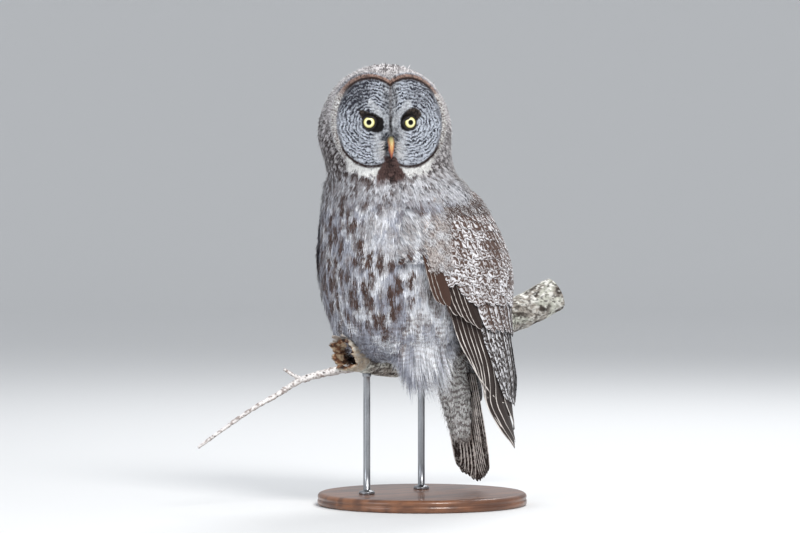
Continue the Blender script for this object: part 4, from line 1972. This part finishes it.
def make_flakes(material, axis, steps, out, girth):
    """Thin curls of pale bark, lifting from the top of the broken end."""
    grids, tones = [], []
    for number, (share, degrees, length, half, lift) in enumerate(FLAKES):
        row = int(share * (len(axis) - 1))
        heights = out[row] @ UP
        leftward = out[row] @ np.array([math.cos(CAMERA_AZIMUTH), math.sin(CAMERA_AZIMUTH), 0.0])
        score = math.sin(math.radians(degrees)) * heights - math.cos(math.radians(degrees)) * leftward
        spot = int(np.argmax(score))
        outward, back = out[row, spot], -steps[row]
        side = np.cross(outward, back)
        along = np.linspace(0, 1, 14)[:, None]
        across = np.linspace(-1, 1, 9)[None, :]
        wide = half * np.sqrt(np.maximum(0.0, 1 - along**1.6)) * (1 + 0.18 * np.sin(9 * along + number))
        base = axis[row] + outward * (girth[row, spot] - 0.0006)
        sheet = base + back * (length * (along - 0.25))[..., None] + side * (wide * across)[..., None]
        arch = lift * length * along**1.8 - 0.22 * wide * across**2
        sheet = sheet + outward * arch[..., None]
        torn = 0.0008 * noise(sheet, 300.0, 90.0 + number)
        sheet = sheet + outward * torn[..., None]
        under = sheet - outward * 0.0007
        grids.append(np.concatenate([sheet, under[:, ::-1]], 1))
        pale = mix_rows(BARK_PALE, BARK_MID, 0.5 + 0.5 * noise(sheet, 260.0, 95.0))
        under_tone = mix_rows(pale, WOOD_BROWN, 0.35)
        tones.append(with_ends(np.concatenate([pale, under_tone[:, ::-1]], 1)))
    points, triangles = joined(grids)
    toned("perch_flakes", points, triangles, np.concatenate(tones), material, "bark")


def make_twig():
    right = np.array([math.cos(CAMERA_AZIMUTH), math.sin(CAMERA_AZIMUTH), 0.0])
    near = np.array([math.sin(CAMERA_AZIMUTH), -math.cos(CAMERA_AZIMUTH), 0.0])
    start = perch_axis(np.array(0.055)) - np.array([0.0, 0.0, 0.017])
    line = np.array([
        start - right * TWIG_LENGTH * run + near * TWIG_REACH * run - UP * TWIG_DROP * drop
        for run, drop in TWIG_BENDS
    ])
    shares = np.linspace(0, 1, 200)
    places = curve_through(line, shares)
    radii = mix(TWIG_RADII[0], TWIG_RADII[1], shares) * (1 + 0.07 * np.sin(61 * shares) + 0.05 * np.sin(143 * shares))
    fork = curve_through(line, np.array(TWIG_FORK))
    bend = fork - right * 0.012 + UP * 0.006 + near * 0.003
    tip = fork - right * 0.026 + UP * 0.015 + near * 0.006
    side_places = curve_through([fork, bend, tip], np.linspace(0, 1, 40))
    side_radii = mix(0.0036, 0.0018, np.linspace(0, 1, 40)) * (1 + 0.06 * np.sin(0.9 * np.arange(40)))
    grids, tones = [], []
    for line_places, line_radii in ((places, radii), (side_places, side_radii)):
        grid = sweep(line_places, line_radii, 28)
        centre = line_places[:, None]
        out = unit(grid - centre)
        fine = noise(grid, 420.0, 97.0) + 0.6 * noise(grid, 160.0, 98.0)
        grid = grid + out * (0.00045 * fine)[..., None]
        tone = mix_rows(tint(226, 222, 220), tint(150, 138, 134), smoothstep(0.0, 0.7, fine))
        tone = mix_rows(tone, tint(70, 60, 60), smoothstep(0.5, 0.95, -fine) + 0 * fine)
        tone = mix_rows(tone, tint(120, 106, 98), 0.5 * smoothstep(0.1, -0.7, out[..., 2]))
        grids.append(grid)
        tones.append(with_ends(tone))
    points, triangles = joined(grids)
    skin = tone_material("twig_bark", 0.8, 900.0, 0.25, 0.0006)
    toned("twig", points, triangles, np.concatenate(tones), skin, "twig_bark", "perch_twig")


# Stand
def make_stand():
    """A turned wooden base with a bead at its edge, and two steel rods with collars."""
    profile = np.array([
        (0.0, 0.0), (0.1460, 0.0), (0.1490, 0.0010), (0.1500, 0.0030), (0.1500, 0.0075), (0.1490, 0.0085),
        (0.1480, 0.0090), (0.1490, 0.0096), (0.1498, 0.0110), (0.1496, 0.0140), (0.1478, 0.0165),
        (0.1450, 0.0178), (0.1400, 0.0180), (0.1392, 0.0176), (0.1384, 0.0180), (0.0, 0.0180),
    ])
    steps = np.linspace(0, 1, 160)
    run = np.concatenate([[0], np.cumsum(np.linalg.norm(np.diff(profile, axis=0), axis=1))])
    radius = np.maximum(np.interp(steps * run[-1], run, profile[:, 0]), 1e-4)
    height = np.interp(steps * run[-1], run, profile[:, 1])
    turns = np.linspace(0, 2 * np.pi, 180, endpoint=False)
    x = radius[:, None] * np.sin(turns)
    y = -radius[:, None] * np.cos(turns)
    grid = np.stack([x, y, np.broadcast_to(height[:, None], x.shape)], -1)
    grain = noise(grid * np.array([9.0, 1.0, 9.0]), 14.0, 101.0) + 0.4 * noise(grid * np.array([12.0, 1.0, 12.0]), 50.0, 102.0)
    tone = mix_rows(tint(126, 82, 54), tint(86, 52, 34), smoothstep(-0.6, 0.8, grain))
    points, triangles = capped(grid)
    wood = tone_material("base_wood", 0.38, 300.0, 0.10, 0.0002, Coat_Weight=0.35)
    toned("base_wood", points, triangles, with_ends(tone), wood, "base_wood", "stand_base")
    steel = tone_material("rod_steel", 0.30, 1400.0, 0.08, 0.00008, Metallic=1.0)
    for name, share in zip(("stand_rod_front", "stand_rod_rear"), ROD_STATIONS):
        centre = perch_axis(np.array(share))
        high = centre[2] - PERCH_RADIUS * 0.93
        outline = np.array([
            (0.0060, BASE_HEIGHT), (0.0110, BASE_HEIGHT), (0.0114, BASE_HEIGHT + 0.0008), (0.0114, BASE_HEIGHT + 0.003),
            (0.0100, BASE_HEIGHT + 0.0045), (0.0066, BASE_HEIGHT + 0.0055), (ROD_RADIUS, BASE_HEIGHT + 0.0062),
            (ROD_RADIUS, high - 0.006), (0.0062, high - 0.0052), (0.0064, high - 0.001), (0.0062, high),
        ])
        rows = np.concatenate([np.linspace(a, b, 5, endpoint=False) for a, b in zip(outline[:-1], outline[1:])])
        turns = np.linspace(0, 2 * np.pi, 48, endpoint=False)
        x = centre[0] + rows[:, :1] * np.sin(turns)
        y = centre[1] - rows[:, :1] * np.cos(turns)
        grid = np.stack([x, y, np.broadcast_to(rows[:, 1:], x.shape)], -1)
        brushed = 0.5 + 0.5 * noise(grid * np.array([1.0, 1.0, 30.0]), 60.0, 103.0)
        points, triangles = capped(grid)
        toned(f"{name}_steel", points, triangles, with_ends(mix_rows(tint(172, 174, 178), tint(140, 142, 146), brushed)), steel, "rod_metal", name)


def make_camera():
    right = np.array([math.cos(CAMERA_AZIMUTH), math.sin(CAMERA_AZIMUTH), 0.0])
    tilt = math.radians(1.8)
    near = np.array([
        math.sin(CAMERA_AZIMUTH) * math.cos(tilt),
        -math.cos(CAMERA_AZIMUTH) * math.cos(tilt),
        math.sin(tilt),
    ])
    target = right * -0.0317 + np.array([0.0, 0.0, 0.341])
    camera = bpy.data.objects.new("camera", bpy.data.cameras.new("camera"))
    bpy.context.scene.collection.objects.link(camera)
    camera.location = target + near * 6.0
    camera.rotation_mode = "QUATERNION"
    camera.rotation_quaternion = Vector(-near).to_track_quat("-Z", "Y")
    camera.data.sensor_width = 36.0
    camera.data.lens = 36.0 * 6.0 / (800 * 0.00143)
    bpy.context.scene.camera = camera
    return near, right


def add_light(name, place, target, size, power, colour):
    light = bpy.data.lights.new(name, "AREA")
    light.shape = "DISK"
    light.size = size
    light.energy = power
    light.color = colour
    lamp = bpy.data.objects.new(name, light)
    bpy.context.scene.collection.objects.link(lamp)
    lamp.location = place
    lamp.rotation_mode = "QUATERNION"
    lamp.rotation_quaternion = (Vector(target) - Vector(place)).to_track_quat("-Z", "Y")


STAGE_FLAT = 6.5
STAGE_BEND = 3.5


def make_stage(near, right):
    made, nodes, _ = new_material("floor")
    shader = nodes["Principled BSDF"]
    shader.inputs["Base Color"].default_value = (0.72, 0.73, 0.74, 1.0)
    shader.inputs["Roughness"].default_value = 0.7
    # a level floor that curves up into a wall all round, with no line between them
    rise = np.linspace(0, np.pi / 2, 30)
    radius = np.concatenate([[0.001, 0.5, 1.5, 3.0, 5.0], STAGE_FLAT + STAGE_BEND * np.sin(rise)])
    height = np.concatenate([np.zeros(5), STAGE_BEND * (1 - np.cos(rise))])
    turns = np.linspace(0, 2 * np.pi, 120, endpoint=False)
    x, y = radius[:, None] * np.cos(turns), radius[:, None] * np.sin(turns)
    bowl = np.stack([x, y, np.broadcast_to(height[:, None], x.shape)], -1)
    floor = add_mesh("floor", bowl, grid_triangles(*x.shape, wrap=True))
    floor.data.materials.append(made)
    world = bpy.data.worlds.new("studio")
    bpy.context.scene.world = world
    world.use_nodes = True
    world.node_tree.nodes["Background"].inputs["Color"].default_value = (0.83, 0.85, 0.88, 1.0)
    world.node_tree.nodes["Background"].inputs["Strength"].default_value = 0.75
    middle = (0.0, 0.0, 0.38)
    key = near * 2.0 + right * 0.9 + UP * 2.3
    fill = near * 1.8 - right * 2.2 + UP * 0.9
    back = -near * 2.0 + right * 0.6 + UP * 2.4
    add_light("key", key, middle, 1.1, 70.0, (1.0, 0.98, 0.95))
    add_light("fill", fill, middle, 1.6, 22.0, (0.92, 0.96, 1.0))
    add_light("back", back, middle, 1.2, 40.0, (1.0, 1.0, 1.0))


bpy.context.scene.view_settings.view_transform = "Standard"
camera_near, camera_right = make_camera()
make_stage(camera_near, camera_right)
make_skin(make_legs())
make_body_coat()
make_eyes()
make_bill()
make_bristles()
make_perch()
make_twig()
make_stand()
make_wing("wing_left", 1)
make_wing("wing_right", -1)
make_tail()
make_tail_down()
